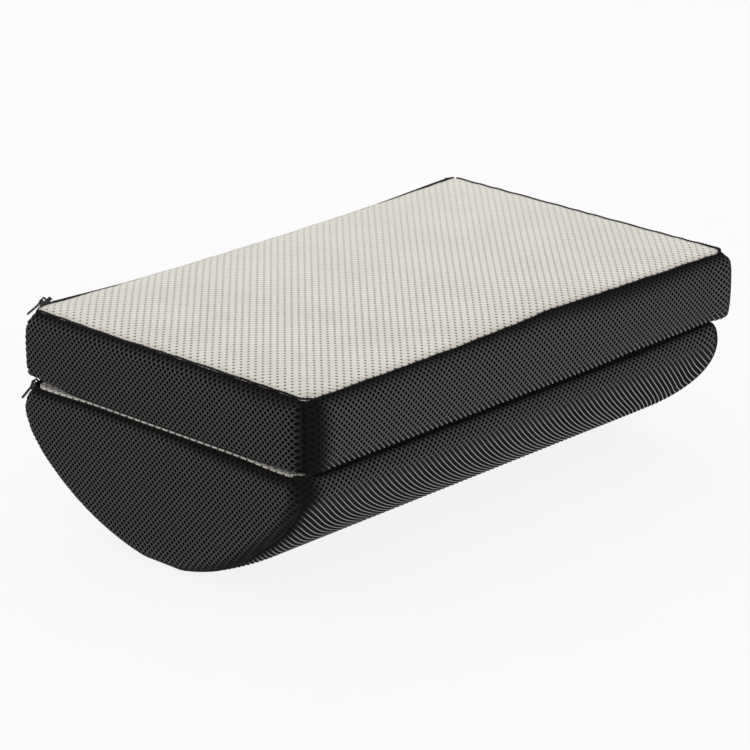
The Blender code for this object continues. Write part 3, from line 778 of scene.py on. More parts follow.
def bolster_line(power):
    """Half of the bolster's section, from the front seam round the belly to the middle."""
    depth = np.linspace(0.15, SHOULDER, 13)
    out = BELLY_BULGE * np.sqrt(1 - (1 - depth / SHOULDER) ** 2)
    upper = np.stack([-BOLSTER_HALF_WIDTH - out, BOLSTER_TOP - depth], 1)
    angle = np.linspace(0, np.pi / 2, 90)[1:]
    widest = BOLSTER_HALF_WIDTH + BELLY_BULGE
    fall = BOLSTER_TOP - SHOULDER + BELLY_FLATTENING
    across = -widest * np.cos(angle) ** (2 / power)
    down = BOLSTER_TOP - SHOULDER - fall * np.sin(angle) ** (2 / power)
    return np.concatenate([upper, np.stack([across, np.maximum(down, 0.0)], 1)])


def with_lip(front, back, half_width, top, reach):
    """The whole section: the front half, then the back half up to a lip along the zip."""
    back = back[::-1][1:] * [-1, 1]
    back = back[(back[:, 1] < top - reach) | (back[:, 0] < 0.8 * half_width)]
    lip = [(half_width + out, top - depth) for depth, out in LIP[::-1]]
    return np.concatenate([front, back, dense_profile([back[-6], back[-1]] + lip, 8)[9:]])


slab_at, slab_width = by_arc(
    with_lip(slab_line(), slab_line(), SLAB_HALF_WIDTH, SLAB_TOP, SLAB_LIP_REACH)
)
bolster_at, bolster_width = by_arc(
    with_lip(
        bolster_line(BELLY_POWER_FRONT),
        bolster_line(BELLY_POWER_BACK),
        BOLSTER_HALF_WIDTH,
        BOLSTER_TOP,
        BOLSTER_LIP_REACH,
    )
)


# ---------------------------------------------------------------- how far the real covers stray


def between(x, places):
    """A smooth curve through (place, value) pairs."""
    places = np.array(places, float)
    k = np.clip(np.searchsorted(places[:, 0], x) - 1, 0, len(places) - 2)
    t = (x - places[k, 0]) / (places[k + 1, 0] - places[k, 0])
    return places[k, 1] + (places[k + 1, 1] - places[k, 1]) * smooth_step(t)


def corner_tuck(x, y, near, other):
    """How far a corner is drawn in: the near left one is pulled tightest."""
    near_left = smooth_step((-x + 60) / 120) * smooth_step((-y + 60) / 120)
    return other + (near - other) * near_left


def slab_back_share(y):
    """0 at the slab's front seam, 1 at its back seam."""
    return smooth_step((y + SLAB_HALF_WIDTH) / (2 * SLAB_HALF_WIDTH))


def slab_sag(x, y):
    """How far the slab's top edge strays from level, by place: it is sewn by hand and never straight."""
    u = x - SLAB_X
    front = between(u, FRONT_SEAM)
    back = -BACK_SEAM_SAG * (1 - (u / SLAB_HALF_LENGTH) ** 2).clip(0)
    left = -0.9 * bump(y, 50, 45) * bump(u, -SLAB_HALF_LENGTH, 50)
    share = slab_back_share(y)
    return front * (1 - share) + back * share + left


def slab_drop(x, y):
    """The same for the slab's bottom edge."""
    return steps(x - SLAB_X, FRONT_HEM) * (1 - slab_back_share(y))


def slab_left_lift(x, y):
    """At its left end the slab's bottom edge stands up at the back and hangs lower towards the front."""
    lift = LEFT_HEM_RISE * smooth_step((y - 70) / 60) - LEFT_HEM_SAG
    return lift * smooth_step((SLAB_X - x - 192) / 18)


def left_stretch(y):
    """How far the slab's left end is pushed out along its bottom edge."""
    return LEFT_STRETCH * smooth_step((y + 132) / 55) * smooth_step((138 - y) / 50)


def bolster_lift(x, y):
    """The bolster's top edge rises a little at the right of its front, and along its left end."""
    right = steps(x, BOLSTER_RIGHT_RISE) * smooth_step((-y - 50) / 70)
    left = BOLSTER_LEFT_RISE + BOLSTER_LEFT_CROWN * smooth_step((112 - np.abs(y)) / 50)
    return right + left * smooth_step((-x - 188) / 20)


def round_end(x, half_length, reach, depth):
    """Shrink towards an end: 0 away from it, depth at it, on a quarter circle."""
    t = np.clip((np.abs(x) - (half_length - reach)) / reach, 0, 1)
    return depth * (1 - np.sqrt(1 - 0.98 * t * t))


def slab_wrap(u, v):
    """Point on the slab's wrapping cover: u from its left end, v down its front, under and up its back.

    y and z come from the section, then the corners are drawn in, the ends pushed out and the edges strayed.
    """
    x = u - SLAB_HALF_LENGTH
    y, z = slab_at(np.clip(v, 0, slab_width)).T
    tuck = round_end(x, SLAB_HALF_LENGTH, CORNER_RADIUS, 1.0)
    near = corner_tuck(x, y, 1.0, 0.0)
    bulge = np.maximum(np.abs(y) - SLAB_HALF_WIDTH, 0)
    swollen = bulge * round_end(x, SLAB_HALF_LENGTH, 2 * CORNER_RADIUS, 1.0)
    drawn = (FAR_CORNER_TUCK + (CORNER_RADIUS - FAR_CORNER_TUCK) * near) * tuck + near * swollen
    y = y - np.sign(y) * drawn * smooth_step(np.abs(y) / 60)
    pushed = smooth_step((SLAB_TOP - 1 - z) / STRETCH_DEPTH)
    free = SLAB_HALF_LENGTH - SLAB_STRETCH_LENGTH
    x = x + RIGHT_STRETCH * smooth_step((x - free) / SLAB_STRETCH_LENGTH) * pushed
    x = x - left_stretch(y) * smooth_step((-x - free) / SLAB_STRETCH_LENGTH) * pushed
    x = x + SLAB_X
    level = smooth_step((z - SLAB_BOTTOM) / SLAB_HEIGHT)
    wall = smooth_step((np.abs(y) - 90) / 35)
    z = z + (slab_sag(x, y) * level + slab_drop(x, y) * (1 - level)) * wall
    z = z + (slab_left_lift(x, y) + 0.5 * tuck) * (1 - level)
    return np.stack([x, y, z], -1)


def bolster_wrap(u, v):
    """The same for the bolster: v runs down the front, round the belly and up the back."""
    askew = BELLY_SKEW * smooth_step((v - 25) / 75) * (1 - smooth_step((v - 210) / 110))
    askew = askew - 1.5 * smooth_step(v / 25)
    askew = askew * smooth_step(u / 75) * smooth_step((2 * BOLSTER_HALF_LENGTH - u) / 130)
    x = u - BOLSTER_HALF_LENGTH + askew
    y, z = bolster_at(np.clip(v, 0, bolster_width)).T
    drawn = corner_tuck(x, y, *BOLSTER_TUCK) * smooth_step((z - 8) / 30)
    inward = round_end(x, BOLSTER_HALF_LENGTH, BOLSTER_END_ROUND, 1.0) * (BOLSTER_END_INWARD + drawn)
    scale = 1 - inward / np.maximum(np.hypot(y, BOLSTER_TOP - z), 60)
    pushed = smooth_step((BOLSTER_TOP - z) / 3)
    free = BOLSTER_HALF_LENGTH - BOLSTER_STRETCH_LENGTH
    x = x + BOLSTER_STRETCH * smooth_step((x - free) / BOLSTER_STRETCH_LENGTH) * pushed
    level = smooth_step((z - 70) / 26)
    z = BOLSTER_TOP - (BOLSTER_TOP - z) * scale + bolster_lift(x, y) * level
    return np.stack([x, y * scale, z], -1)


def slab_slack_and_seam_shade(u, v):
    """1 where the mesh lies free, down to 0 where a seam pulls it flat. The air mesh paints the low values dark as
    shade under the seam, over a wider band at two stretches of the front.
    """
    left = smooth_step((u - 5) / 14)
    ends = np.minimum(left, smooth_step((2 * SLAB_HALF_LENGTH - u - 1) / 5))
    x = u - SLAB_HALF_LENGTH
    fade = 7 + 3 * bump(x, -170, 50) + 10 * bump(x, 90, 85)
    return np.minimum(np.minimum(ends, smooth_step((v - 1) / fade)), smooth_step((slab_width - v) / 5))


# The same for the bolster. The air mesh paints its low values dark as shade, as along the top edge under the slab.
def bolster_slack_and_seam_shade(u, v):
    taut_and_highlit = bolster_stretch_and_highlight(v)
    left = smooth_step((u - 5 + 4 * taut_and_highlit) / (13 - 8 * taut_and_highlit))
    ends = np.minimum(left, smooth_step((2 * BOLSTER_HALF_LENGTH - u - 1) / 6))
    return np.minimum(np.minimum(ends, smooth_step((v - 1) / 6)), smooth_step((bolster_width - v) / 5))


def slab_stretch_and_highlight(v):
    """1 where the mesh is drawn into grooves and painted with highlight on its ribs and shade in its grooves: here the
    underside, on the bolster the whole belly.
    """
    return smooth_step((v - 45) / 8) * smooth_step((slab_width - 45 - v) / 8)


def bolster_stretch_and_highlight(v):
    return smooth_step((v - 13) / 17) * smooth_step((bolster_width - 13 - v) / 17)


# ---------------------------------------------------------------- end panels


def edge_distance(points, line):
    """Distance from each (y, z) point to a closed line, and the nearest place on it."""
    best = np.full(len(points), 1e9)
    place = np.zeros_like(points)
    for a, b in zip(line, np.roll(line, -1, axis=0)):
        d = b - a
        t = np.clip(((points - a) @ d) / max(d @ d, 1e-9), 0, 1)
        near = a + t[:, None] * d
        gap = np.linalg.norm(points - near, axis=1)
        closer = gap < best
        best[closer] = gap[closer]
        place[closer] = near[closer]
    return best, place


def inside(points, line):
    """Whether each (y, z) point is inside the closed line."""
    found = np.zeros(len(points), bool)
    y, z = points.T
    for a, b in zip(line, np.roll(line, -1, axis=0)):
        if a[1] == b[1]:
            continue
        crosses = (a[1] > z) != (b[1] > z)
        found ^= crosses & (y < a[0] + (z - a[1]) * (b[0] - a[0]) / (b[1] - a[1]))
    return found


def rim_points(faces):
    """The points on edges that only one face has."""
    edges = {}
    for f in faces:
        for a, b in zip(f, f[1:] + f[:1]):
            key = (min(a, b), max(a, b))
            edges[key] = edges.get(key, 0) + 1
    return sorted({v for key, count in edges.items() if count == 1 for v in key})


def end_cloth(name, side, x, line, swell, slack_and_seam_shade):
    """Air mesh across one end, swelling out from its rim. line is the rim in (y, z)."""
    low, high = line.min(0) - 3, line.max(0) + 3
    across, up = HOLE_PITCH_ACROSS / 4, HOLE_PITCH_ALONG / 4
    columns = 2 * int((high[0] - low[0]) / across / 2)
    rows = 2 * int((high[1] - low[1]) / up / 2)
    i, j, faces = lattice(columns, rows)
    flat = np.stack([low[0] + i * across, low[1] + j * up], 1)
    middles = np.array([flat[f].mean(0) for f in faces])
    keep = inside(middles, line) & (edge_distance(middles, line)[0] > RIM_GAP)
    flat, faces = keep_used(flat, [f for f, k in zip(faces, keep) if k])
    distance, place = edge_distance(flat, line)
    rim = rim_points(faces)
    flat[rim] = place[rim]
    distance[rim] = 0.0
    i, j = (flat[:, 0] - low[0]) / across, (flat[:, 1] - low[1]) / up
    ease_and_seam_shade = slack_and_seam_shade(flat, distance)
    first, second = (i + j) / 4, (i - j) / 4
    out = swell(side, flat, distance) + ease_and_seam_shade * mesh_relief(first, second)
    points = np.stack([np.full(len(flat), x) + side * out, flat[:, 0], flat[:, 1]], 1)
    if side > 0:
        faces = [f[::-1] for f in faces]
    return make_mesh(name, points, faces, AIR_MESH, np.stack([first, second, ease_and_seam_shade], 1))


def end_line(cushion, side):
    """Rim of an end in (y, z): the wrapping cover's end, closed along the top seam."""
    v = np.linspace(0.3, cushion.wrap_width, cushion.rim_steps)
    lower = cushion.wrap(np.full(len(v), cushion.half_length * (1 + side)), v)[:, 1:]
    y = np.linspace(lower[-1, 0] - 2.5, lower[0, 0] + 1.5, 40)
    x = np.full(40, cushion.middle + side * cushion.half_length)
    z = cushion.top - cushion.end_tuck[side] + cushion.top_stray(x, y)
    return np.concatenate([lower, np.stack([y, z], 1)])


def swell_within(distance, reach):
    """0 at an edge, near 1 once further from it than reach."""
    return 1 - np.exp(-((np.maximum(distance, 0) / reach) ** 1.3))


def slab_end_swell(side, flat, distance):
    """The slab's end stands out quickly along its bottom and sides, and slowly under the top seam."""
    y, below = flat[:, 0], SLAB_TOP - 1 - flat[:, 1]
    pushed = smooth_step(below / STRETCH_DEPTH)
    if side > 0:
        fullness = swell_within(below, 5) * swell_within(distance, 2)
        return RIGHT_STRETCH * pushed + SLAB_END_SWELL[side] * fullness
    beside = swell_within(y + SLAB_HALF_WIDTH + 3, 9)
    fullness = swell_within(below, 6) * beside * swell_within(distance, 1.2)
    return left_stretch(y) * pushed + (SLAB_END_SWELL[side] - left_stretch(y)) * fullness


# Low near the end's rim, its front edge and under its top seam. The air mesh paints these low values dark as shade,
# with the band under the top seam wider towards the front.
def slab_end_slack_and_seam_shade(flat, distance):
    y, z = flat.T
    top = smooth_step((SLAB_TOP - 2 - z) / (7 + 5 * smooth_step((-y - 20) / 80)))
    beside = smooth_step((SLAB_HALF_WIDTH - 2 + y) / 12)
    return np.minimum(np.minimum(top, beside), smooth_step((distance - 0.2) / 2))


def bolster_end_swell(side, flat, distance):
    """The bolster's end: fullest high up, where its foam is widest."""
    below = BOLSTER_TOP - 1 - flat[:, 1]
    fullness = swell_within(distance, 2.5)
    if side > 0:
        return BOLSTER_STRETCH * smooth_step((below + 1) / 3) + BOLSTER_END_SWELL * fullness
    return (BOLSTER_END_SWELL + BOLSTER_LEFT_SWELL * smooth_step((70 - below) / 40)) * fullness


# Low near the end's rim, over a wider band towards the front. The air mesh paints these low values dark as shade.
def bolster_end_slack_and_seam_shade(flat, distance):
    return smooth_step((distance - 1.0) / (4.5 + 4.0 * smooth_step((-flat[:, 0] - 10) / 50)))


# ---------------------------------------------------------------- perforated panels


def perforated_grid(half_length, half_width):
    """A flat grid on the diagonal with a round pit at each hole, a little larger than the panel."""
    pitch = PERFORATION_PITCH
    reach = (half_length + half_width) / math.sqrt(2) + pitch
    count = int(reach / pitch) + 1
    offsets = np.array([-PERFORATION_RADIUS, -0.3, 0.3, PERFORATION_RADIUS]) / pitch
    lines = (np.arange(-count, count + 1)[:, None] + offsets[None, :]).ravel()
    a, b = np.meshgrid(lines, lines, indexing="ij")
    near_a, near_b = np.round(a), np.round(b)
    da, db = a - near_a, b - near_b
    corner = (np.abs(da) > 0.15) & (np.abs(db) > 0.15)
    a = np.where(corner, near_a + 0.72 * da, a)
    b = np.where(corner, near_b + 0.72 * db, b)
    pit = (np.abs(da) < 0.1) & (np.abs(db) < 0.1)
    x = (a + b) * pitch / math.sqrt(2)
    y = (a - b) * pitch / math.sqrt(2)
    near = (np.abs(x) < half_length + pitch) & (np.abs(y) < half_width + pitch)
    quads = grid_quads(np.arange(a.size).reshape(a.shape).T)
    quads = quads[near.ravel()[quads].all(1)]
    return keep_used(np.stack([x, y, -PERFORATION_DEPTH * pit], -1).reshape(-1, 3), quads)


def cut_to_size(flat, quads, half_length, half_width, hem):
    """Cuts a flat grid to a rectangle and turns its edge down by hem: points and faces."""
    mesh = bpy.data.meshes.new("grid")
    mesh.from_pydata(flat.tolist(), [], quads)
    bm = bmesh.new()
    bm.from_mesh(mesh)
    bpy.data.meshes.remove(mesh)
    for axis, limit in ((0, half_length), (1, half_width)):
        for sign in (-1, 1):
            normal = [0, 0, 0]
            normal[axis] = sign
            bmesh.ops.bisect_plane(
                bm,
                geom=bm.verts[:] + bm.edges[:] + bm.faces[:],
                plane_co=[c * limit for c in normal],
                plane_no=normal,
                clear_outer=True,
            )
    made = bmesh.ops.extrude_edge_only(bm, edges=[e for e in bm.edges if e.is_boundary])
    for vert in made["geom"]:
        if isinstance(vert, bmesh.types.BMVert):
            vert.co.z -= hem
    bm.verts.index_update()
    points = np.array([vert.co for vert in bm.verts], float)
    faces = [[vert.index for vert in face.verts] for face in bm.faces]
    bm.free()
    return points, faces


def perforated_panel(name, half_size, surface, hem, shade, dark_corner):
    """Perforated cloth: shade is how much painted shade greys its whole edge; the last argument is the size of the
    darker patch at its near left corner.
    """
    half_length, half_width = half_size
    flat, quads = perforated_grid(half_length, half_width)
    flat, faces = cut_to_size(flat, quads, half_length, half_width, hem)
    x, y, down = flat.T
    points = surface(x, y)
    points[:, 2] += down
    root = math.sqrt(2) * PERFORATION_PITCH
    edge = np.minimum(half_length - np.abs(x), half_width - np.abs(y))
    # Painted shade greys the edge; the near left corner is darker in a patch.
    undarkened = 1 - shade * (1 - smooth_step((edge + 0.5) / 7))
    undarkened *= 1 - 0.95 * bump(x, 6 - half_length, dark_corner[0]) * bump(y, -half_width, dark_corner[1])
    weave = np.stack([(x + y) / root, (x - y) / root, undarkened], 1)
    return make_mesh(name, points, faces, PERFORATED, weave)


def round_corners(x, y, half_length, half_width, radius):
    """Squeezes the square corners of a rectangle into round ones."""
    a = np.clip((np.abs(x) - (half_length - radius)) / radius, 0, 1)
    b = np.clip((np.abs(y) - (half_width - radius)) / radius, 0, 1)
    shrink_x = radius * a * (1 - np.sqrt(1 - b * b / 2))
    shrink_y = radius * b * (1 - np.sqrt(1 - a * a / 2))
    return x - np.sign(x) * shrink_x, y - np.sign(y) * shrink_y


def panel_outline(x, y, half_length, half_width, corner):
    """The panel with round corners and its back edge tucked in, and the distance to its edge."""
    edge = np.maximum(np.minimum(half_length - np.abs(x), half_width - np.abs(y)), 0)
    px, py = round_corners(x, y, half_length, half_width, corner)
    return px, py - BACK_TUCK * smooth_step((py - half_width + 12) / 12), edge


def slab_top_surface(x, y):
    px, py, edge = panel_outline(x, y, *SLAB_PANEL_HALF, CORNER_RADIUS)
    px = px + SLAB_X
    crown = SLAB_CROWN * (1 - np.exp(-edge / 11.0))
    creases = np.sin(px / 4.3 + 2.1 * np.sin(px / 17)) + np.sin(py / 3.9 + 1.7 * np.sin(py / 15))
    pz = SLAB_TOP - 0.6 + crown + slab_sag(px, py) + 0.22 * creases * np.exp(-edge / 5.0)
    return np.stack([px, py, pz], -1)


def bolster_top_surface(x, y):
    half_length, half_width = BOLSTER_PANEL_HALF
    px, py, edge = panel_outline(x, y, half_length, half_width, BOLSTER_PANEL_CORNER)
    drop = 1.2 * np.exp(-edge / 5.0)
    drop += 0.3 * np.exp(-(half_length + x) / 2.5)  # rolls over the left end
    drop += 1.2 * np.exp(-(half_width + y) / 4.0) * smooth_step((x + 195) / 30)
    py = py + FRONT_TUCK * smooth_step((-py - half_width + 14) / 14) * smooth_step((px + 203) / 34)
    return np.stack([px, py, BOLSTER_TOP - drop + bolster_lift(px, py)], -1)


# ---------------------------------------------------------------- foam


def foam_block(name, section, stations):
    """A closed solid through sections (y, z) at stations (x, inset)."""
    middle = (section.max(0) + section.min(0)) / 2
    half = (section.max(0) - section.min(0)) / 2
    n = len(section)
    rings = []
    for x, inset in stations:
        ring = middle + (section - middle) * (1 - inset / half)
        rings.append(np.column_stack([np.full(n, x), ring]))
    faces = []
    for start in range(0, (len(rings) - 1) * n, n):
        for q in range(n):
            r = (q + 1) % n
            faces.append([start + q, start + r, start + n + r, start + n + q])
    faces.append(list(range(n))[::-1])
    faces.append([(len(rings) - 1) * n + q for q in range(n)])
    obj = make_mesh(name, np.concatenate(rings), faces, FOAM)
    bm = bmesh.new()
    bm.from_mesh(obj.data)
    bmesh.ops.recalc_face_normals(bm, faces=bm.faces)
    bm.to_mesh(obj.data)
    bm.free()
    return obj


def end_stations(half_length, x, reach=12):
    """Stations that round a block's two ends."""
    turn = np.linspace(0, 1.57, 7)
    left = [(-half_length + reach * (1 - math.cos(t)), reach * (1 - math.sin(t))) for t in turn]
    middle = [(s, 0.0) for s in np.linspace(-half_length + reach, half_length - reach, 21)[1:-1]]
    right = [(-s, inset) for s, inset in reversed(left)]
    return [(x + s, inset) for s, inset in left + middle + right]


def build_foam():
    """Both cores, just inside their covers and lower along the two long edges of their tops."""
    line = slab_line()
    line = line[line[:, 1] < SLAB_TOP - 5]
    y, z = line.T
    line = np.column_stack([y + FOAM_SIDE_ROOM["slab"], np.maximum(z, SLAB_BOTTOM + 2.0)])
    roof = [(-SLAB_HALF_WIDTH + 30, SLAB_TOP - 1.5), (-SLAB_HALF_WIDTH + 10, SLAB_TOP - 6.0)]
    slab_half = np.concatenate([roof, line[:-1:3]])
    line = bolster_line(BELLY_POWER_FRONT)
    line = line[line[:, 1] < BOLSTER_TOP - 7]
    centre = np.array([0.0, BOLSTER_TOP])
    shrink = 1 - FOAM_SIDE_ROOM["bolster"] / np.linalg.norm(line - centre, axis=1)
    line = centre + (line - centre) * shrink[:, None]
    roof = [(-BOLSTER_HALF_WIDTH + 30, BOLSTER_TOP - 2.6), (-BOLSTER_HALF_WIDTH + 10, BOLSTER_TOP - 7.0)]
    bolster_half = np.concatenate([roof, line[:-1:3]])
    for prefix, half in (("upper", slab_half), ("lower", bolster_half)):
        cushion = CUSHIONS[prefix]
        section = np.concatenate([half, half[::-1] * [-1, 1]])
        stations = end_stations(cushion.half_length - FOAM_END_ROOM, cushion.middle)
        foam = foam_block(f"{prefix}_foam", section, stations)
        finish_piece(foam, f"{prefix}_cushion", "foam", f"{prefix}_foam_core")
        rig.padded(foam, fill=0.95)


# ---------------------------------------------------------------- seams


def tube(name, lines, radius, material, resolution=2, thickness=None):
    """Round cords along lines of points in millimetres. thickness scales the radius point by point."""
    curve = bpy.data.curves.new(name, "CURVE")
    curve.dimensions = "3D"
    curve.bevel_depth = radius * 0.001
    curve.bevel_resolution = resolution
    curve.use_fill_caps = True
    for line in lines:
        spline = curve.splines.new("POLY")
        spline.points.add(len(line) - 1)
        spline.points.foreach_set("co", np.column_stack([line * 0.001, np.ones(len(line))]).ravel())
        if thickness is not None:
            spline.points.foreach_set("radius", thickness)
    curve.materials.append(material)
    return add_object(name, curve)


def seam_path(cushion):
    """Round the left, front and right sides of a top panel: points, and the cord's thickness there."""
    half_length, half_width, radius = cushion.half_length, cushion.half_width, CORNER_RADIUS
    inner_x, inner_y = half_length - radius, half_width - radius
    turn = np.linspace(0, np.pi / 2, 9)[1:]
    left = [(-half_length, y) for y in np.linspace(half_width - 5, -inner_y, 50)]
    near = [(-inner_x - radius * math.cos(t), -inner_y - radius * math.sin(t)) for t in turn]
    front = [(x, -half_width) for x in np.linspace(-inner_x, inner_x, 90)[1:]]
    far = [(inner_x + radius * math.sin(t), -inner_y - radius * math.cos(t)) for t in turn]
    right = [(half_length, y) for y in np.linspace(-inner_y, half_width - 5, 50)[1:]]
    x, y = np.array(left + near + front + far + right).T
    height = cushion.top_surface(np.clip(x, -half_length, half_length), y)[:, 2]
    along_left = smooth_step((-x - inner_x) / 6)
    along_right = smooth_step((x - inner_x) / 6)
    shares = np.stack([1 - along_left - along_right, along_left, along_right])
    thickness = np.array(cushion.cord["radius"]) @ shares
    thickness = thickness + 0.5 * bump(y, -half_width + 8, 14) * along_right
    x = x * (1 + 0.4 / half_length) + cushion.middle
    y = y * (1 + 0.3 / half_width)
    return np.stack([x, y, height - np.array(cushion.cord["below"]) @ shares], 1), thickness


def stitch_loops(path, thickness):
    """A stitch over the seam cord every few millimetres."""
    at, length = by_arc(np.column_stack([path, thickness]))
    line = at(np.linspace(0, length, int(length / STITCH_PITCH)))
    cord, line = line[:, 3], line[:, :3]
    tangent = np.gradient(line, axis=0)
    tangent /= np.linalg.norm(tangent, axis=1)[:, None]
    up = np.array([0.0, 0.0, 1.0])
    side = np.cross(tangent, up)
    side /= np.linalg.norm(side, axis=1)[:, None]
    loops = []
    for k in range(1, len(line) - 1):
        loop = []
        for t in np.linspace(-0.6, 2.5, 7):
            around = side[k] * math.cos(t) + up * math.sin(t)
            loop.append(line[k] + around * (cord[k] + 0.08) + tangent[k] * 1.2 * (t / 2.4 - 0.4))
        loops.append(np.array(loop))
    return loops


def build_seams(prefix, cushion):
    """The cord under the top panel, its stitches, pale ones along the left end, and the ends' welts."""
    body = f"{prefix}_cushion"
    path, thickness = seam_path(cushion)
    cord = tube(f"{prefix}_seam_cord", [path], 1.0, THREAD, thickness=thickness)
    finish_piece(cord, body, "seam_thread", f"{prefix}_top_seam")
    loops = stitch_loops(path, thickness)
    left_end = cushion.middle - cushion.half_length + 3
    pale = [loop for loop in loops if loop[0, 0] < left_end and loop[0, 1] > -70]
    stitches = tube(f"{prefix}_left_stitches", pale, PALE_STITCH_RADIUS, STITCH, 1)
    finish_piece(stitches, body, "seam_thread")
    stitches = tube(f"{prefix}_seam_stitches", loops[len(pale) :], STITCH_RADIUS, THREAD, 1)
    finish_piece(stitches, body, "seam_thread")
    v = np.linspace(1.0, cushion.wrap_width, 160)
    for end, side in (("left", -1), ("right", 1)):
        line = cushion.wrap(np.full(len(v), cushion.half_length * (1 + side)), v)
        line[:, 0] -= side * WELT_INSET
        welt = tube(f"{prefix}_{end}_welt", [resample(line, 4.0)], WELT_RADIUS, THREAD)
        finish_piece(welt, body, "seam_thread", f"{prefix}_{end}_end_welt")


# ---------------------------------------------------------------- zips


def zip_box(prefix):
    """Where the zip's teeth start and stop along X, and the middle of their CAD box."""
    corners = box_mm(f"{prefix}_zip_top_coil") + box_mm(f"{prefix}_zip_bottom_coil")
    return corners[0][0], corners[1][0], sum(corners) / 4


def zip_line(prefix, x):
    """Middle of the teeth at each x: they follow the cushion's back edge and ride up at both ends."""
    start, stop, centre = zip_box(prefix)
    z = centre[2] + SLIDER_RISE[prefix] * (bump(x, start, 60) + bump(x, stop, 60))
    if prefix == "upper":
        y = centre[1] - CORNER_RADIUS * round_end(x - SLAB_X, SLAB_HALF_LENGTH, CORNER_RADIUS, 1.0)
        z = z + slab_sag(x, np.full(len(x), SLAB_HALF_WIDTH))
    else:
        y = centre[1] - round_end(x, BOLSTER_HALF_LENGTH, 14, 4.0)
    return np.stack([x, y, z], 1)


def build_tape(prefix, side):
    """Half of the tape, woven: its surface is ribbed across its width."""
    start, stop, _ = zip_box(prefix)
    x = np.arange(start - TAPE_OVERRUN, stop + TAPE_OVERRUN, TAPE_STEP)
    middle = zip_line(prefix, x)
    ribs = 0.08 * np.cos(2 * np.pi * x / (2 * TAPE_STEP))[:, None]
    path = TAPE_PATHS[side]
    rows = [middle + DOWN * t + OUTWARD * (n + ribs) for t, n in path]
    rows += [middle + DOWN * t + OUTWARD * (n - TAPE_THICKNESS) for t, n in path[::-1]]
    rows.append(rows[0])
    faces = grid_quads(np.arange(len(rows) * len(x)).reshape(len(rows), len(x)))
    tape = make_mesh(f"{prefix}_{side}_tape", np.concatenate(rows), faces, TAPE)
    finish_piece(tape, f"{prefix}_cushion", "zip_tape", f"{prefix}_zip_{side}_tape")


def build_teeth(prefix, side, sign):
    """One strand of coiled teeth, half a pitch out of step with the other."""
    start, stop, _ = zip_box(prefix)
    turns = int((stop - start - 2) / TOOTH_PITCH)
    angle = np.arange(turns * TOOTH_STEPS + 1) * 2 * np.pi / TOOTH_STEPS
    x = start + 1 + angle / (2 * np.pi) * TOOTH_PITCH + (TOOTH_PITCH / 2 if sign > 0 else 0)
    offset = sign * TOOTH_OFFSET + TOOTH_HALF_WIDTH * np.cos(angle)
    height = TOOTH_LEVEL + TOOTH_HALF_HEIGHT * np.sin(angle)
    line = zip_line(prefix, x) + DOWN * offset[:, None] + OUTWARD * height[:, None]
    teeth = tube(f"{prefix}_{side}_teeth", [line], TOOTH_RADIUS, PLASTIC, 1)
    finish_piece(teeth, f"{prefix}_cushion", "zip_plastic", f"{prefix}_zip_{side}_coil")


def softened(name, node, width, material, move):
    """A moved copy of a CAD piece with its edges rounded."""
    mesh = frame["nodes"][node].data.copy()
    bm = bmesh.new()
    bm.from_mesh(mesh)
    bmesh.ops.remove_doubles(bm, verts=bm.verts, dist=1e-6)
    bmesh.ops.dissolve_limit(bm, angle_limit=math.radians(3), verts=bm.verts, edges=bm.edges)
    sharp = [e for e in bm.edges if e.is_manifold and e.calc_face_angle() > math.radians(25)]
    bmesh.ops.bevel(
        bm, geom=sharp, offset=width * 0.001, segments=3, profile=0.6, affect="EDGES", clamp_overlap=True
    )
    bm.to_mesh(mesh)
    bm.free()
    mesh.materials.clear()
    mesh.materials.append(material)
    mesh.shade_smooth()
    mesh.transform(move)
    return add_object(name, mesh)


def build_slider(prefix):
    """The slider and its tab, tilted where the zip's end rides up over the cushion's end."""
    shift = Vector((SLIDER_REACH[prefix], 0, SLIDER_RISE[prefix])) * 0.001
    joint = next(j for j in frame["joints"] if j["child"] == f"{prefix}_zip_pull")
    pivot, axis = Vector(joint["pos_m"]), Vector(joint["axis"])
    tilt = Matrix.Rotation(-math.radians(SLIDER_TILT[prefix]), 4, "Y")
    droop = Matrix.Rotation(-math.radians(TAB_DROOP[prefix]), 4, axis)
    to_pivot = Matrix.Translation(-pivot)
    place = Matrix.Translation(pivot + shift) @ tilt
    moves = (("slider", 0.25, place @ to_pivot), ("pull", 0.2, place @ droop @ to_pivot))
    for piece, width, move in moves:
        node = f"{prefix}_zip_{piece}"
        finish_piece(softened(f"{prefix}_{piece}", node, width, METAL, move), node, "zip_metal", node)


def build_stops(prefix):
    """The zip's stops, moved with the ends of its teeth."""
    level = zip_box(prefix)[2][2]
    for kind in ("top_end", "bottom_end", "base"):
        node = f"{prefix}_zip_{kind}_stop"
        low, high = box_mm(node)
        lifted = zip_line(prefix, np.array([(low[0] + high[0]) / 2]))[0, 2] - level
        move = Matrix.Translation((0, 0, lifted * 0.001))
        stop = softened(f"{prefix}_{kind}_stop", node, 0.3, PLASTIC, move)
        finish_piece(stop, f"{prefix}_cushion", "zip_plastic", node)


def build_zips():
    for prefix in ("lower", "upper"):
        build_tape(prefix, "top")
        build_tape(prefix, "bottom")
        build_teeth(prefix, "top", -1)
        build_teeth(prefix, "bottom", 1)
        build_slider(prefix)
        build_stops(prefix)


# ---------------------------------------------------------------- hook-and-loop strips


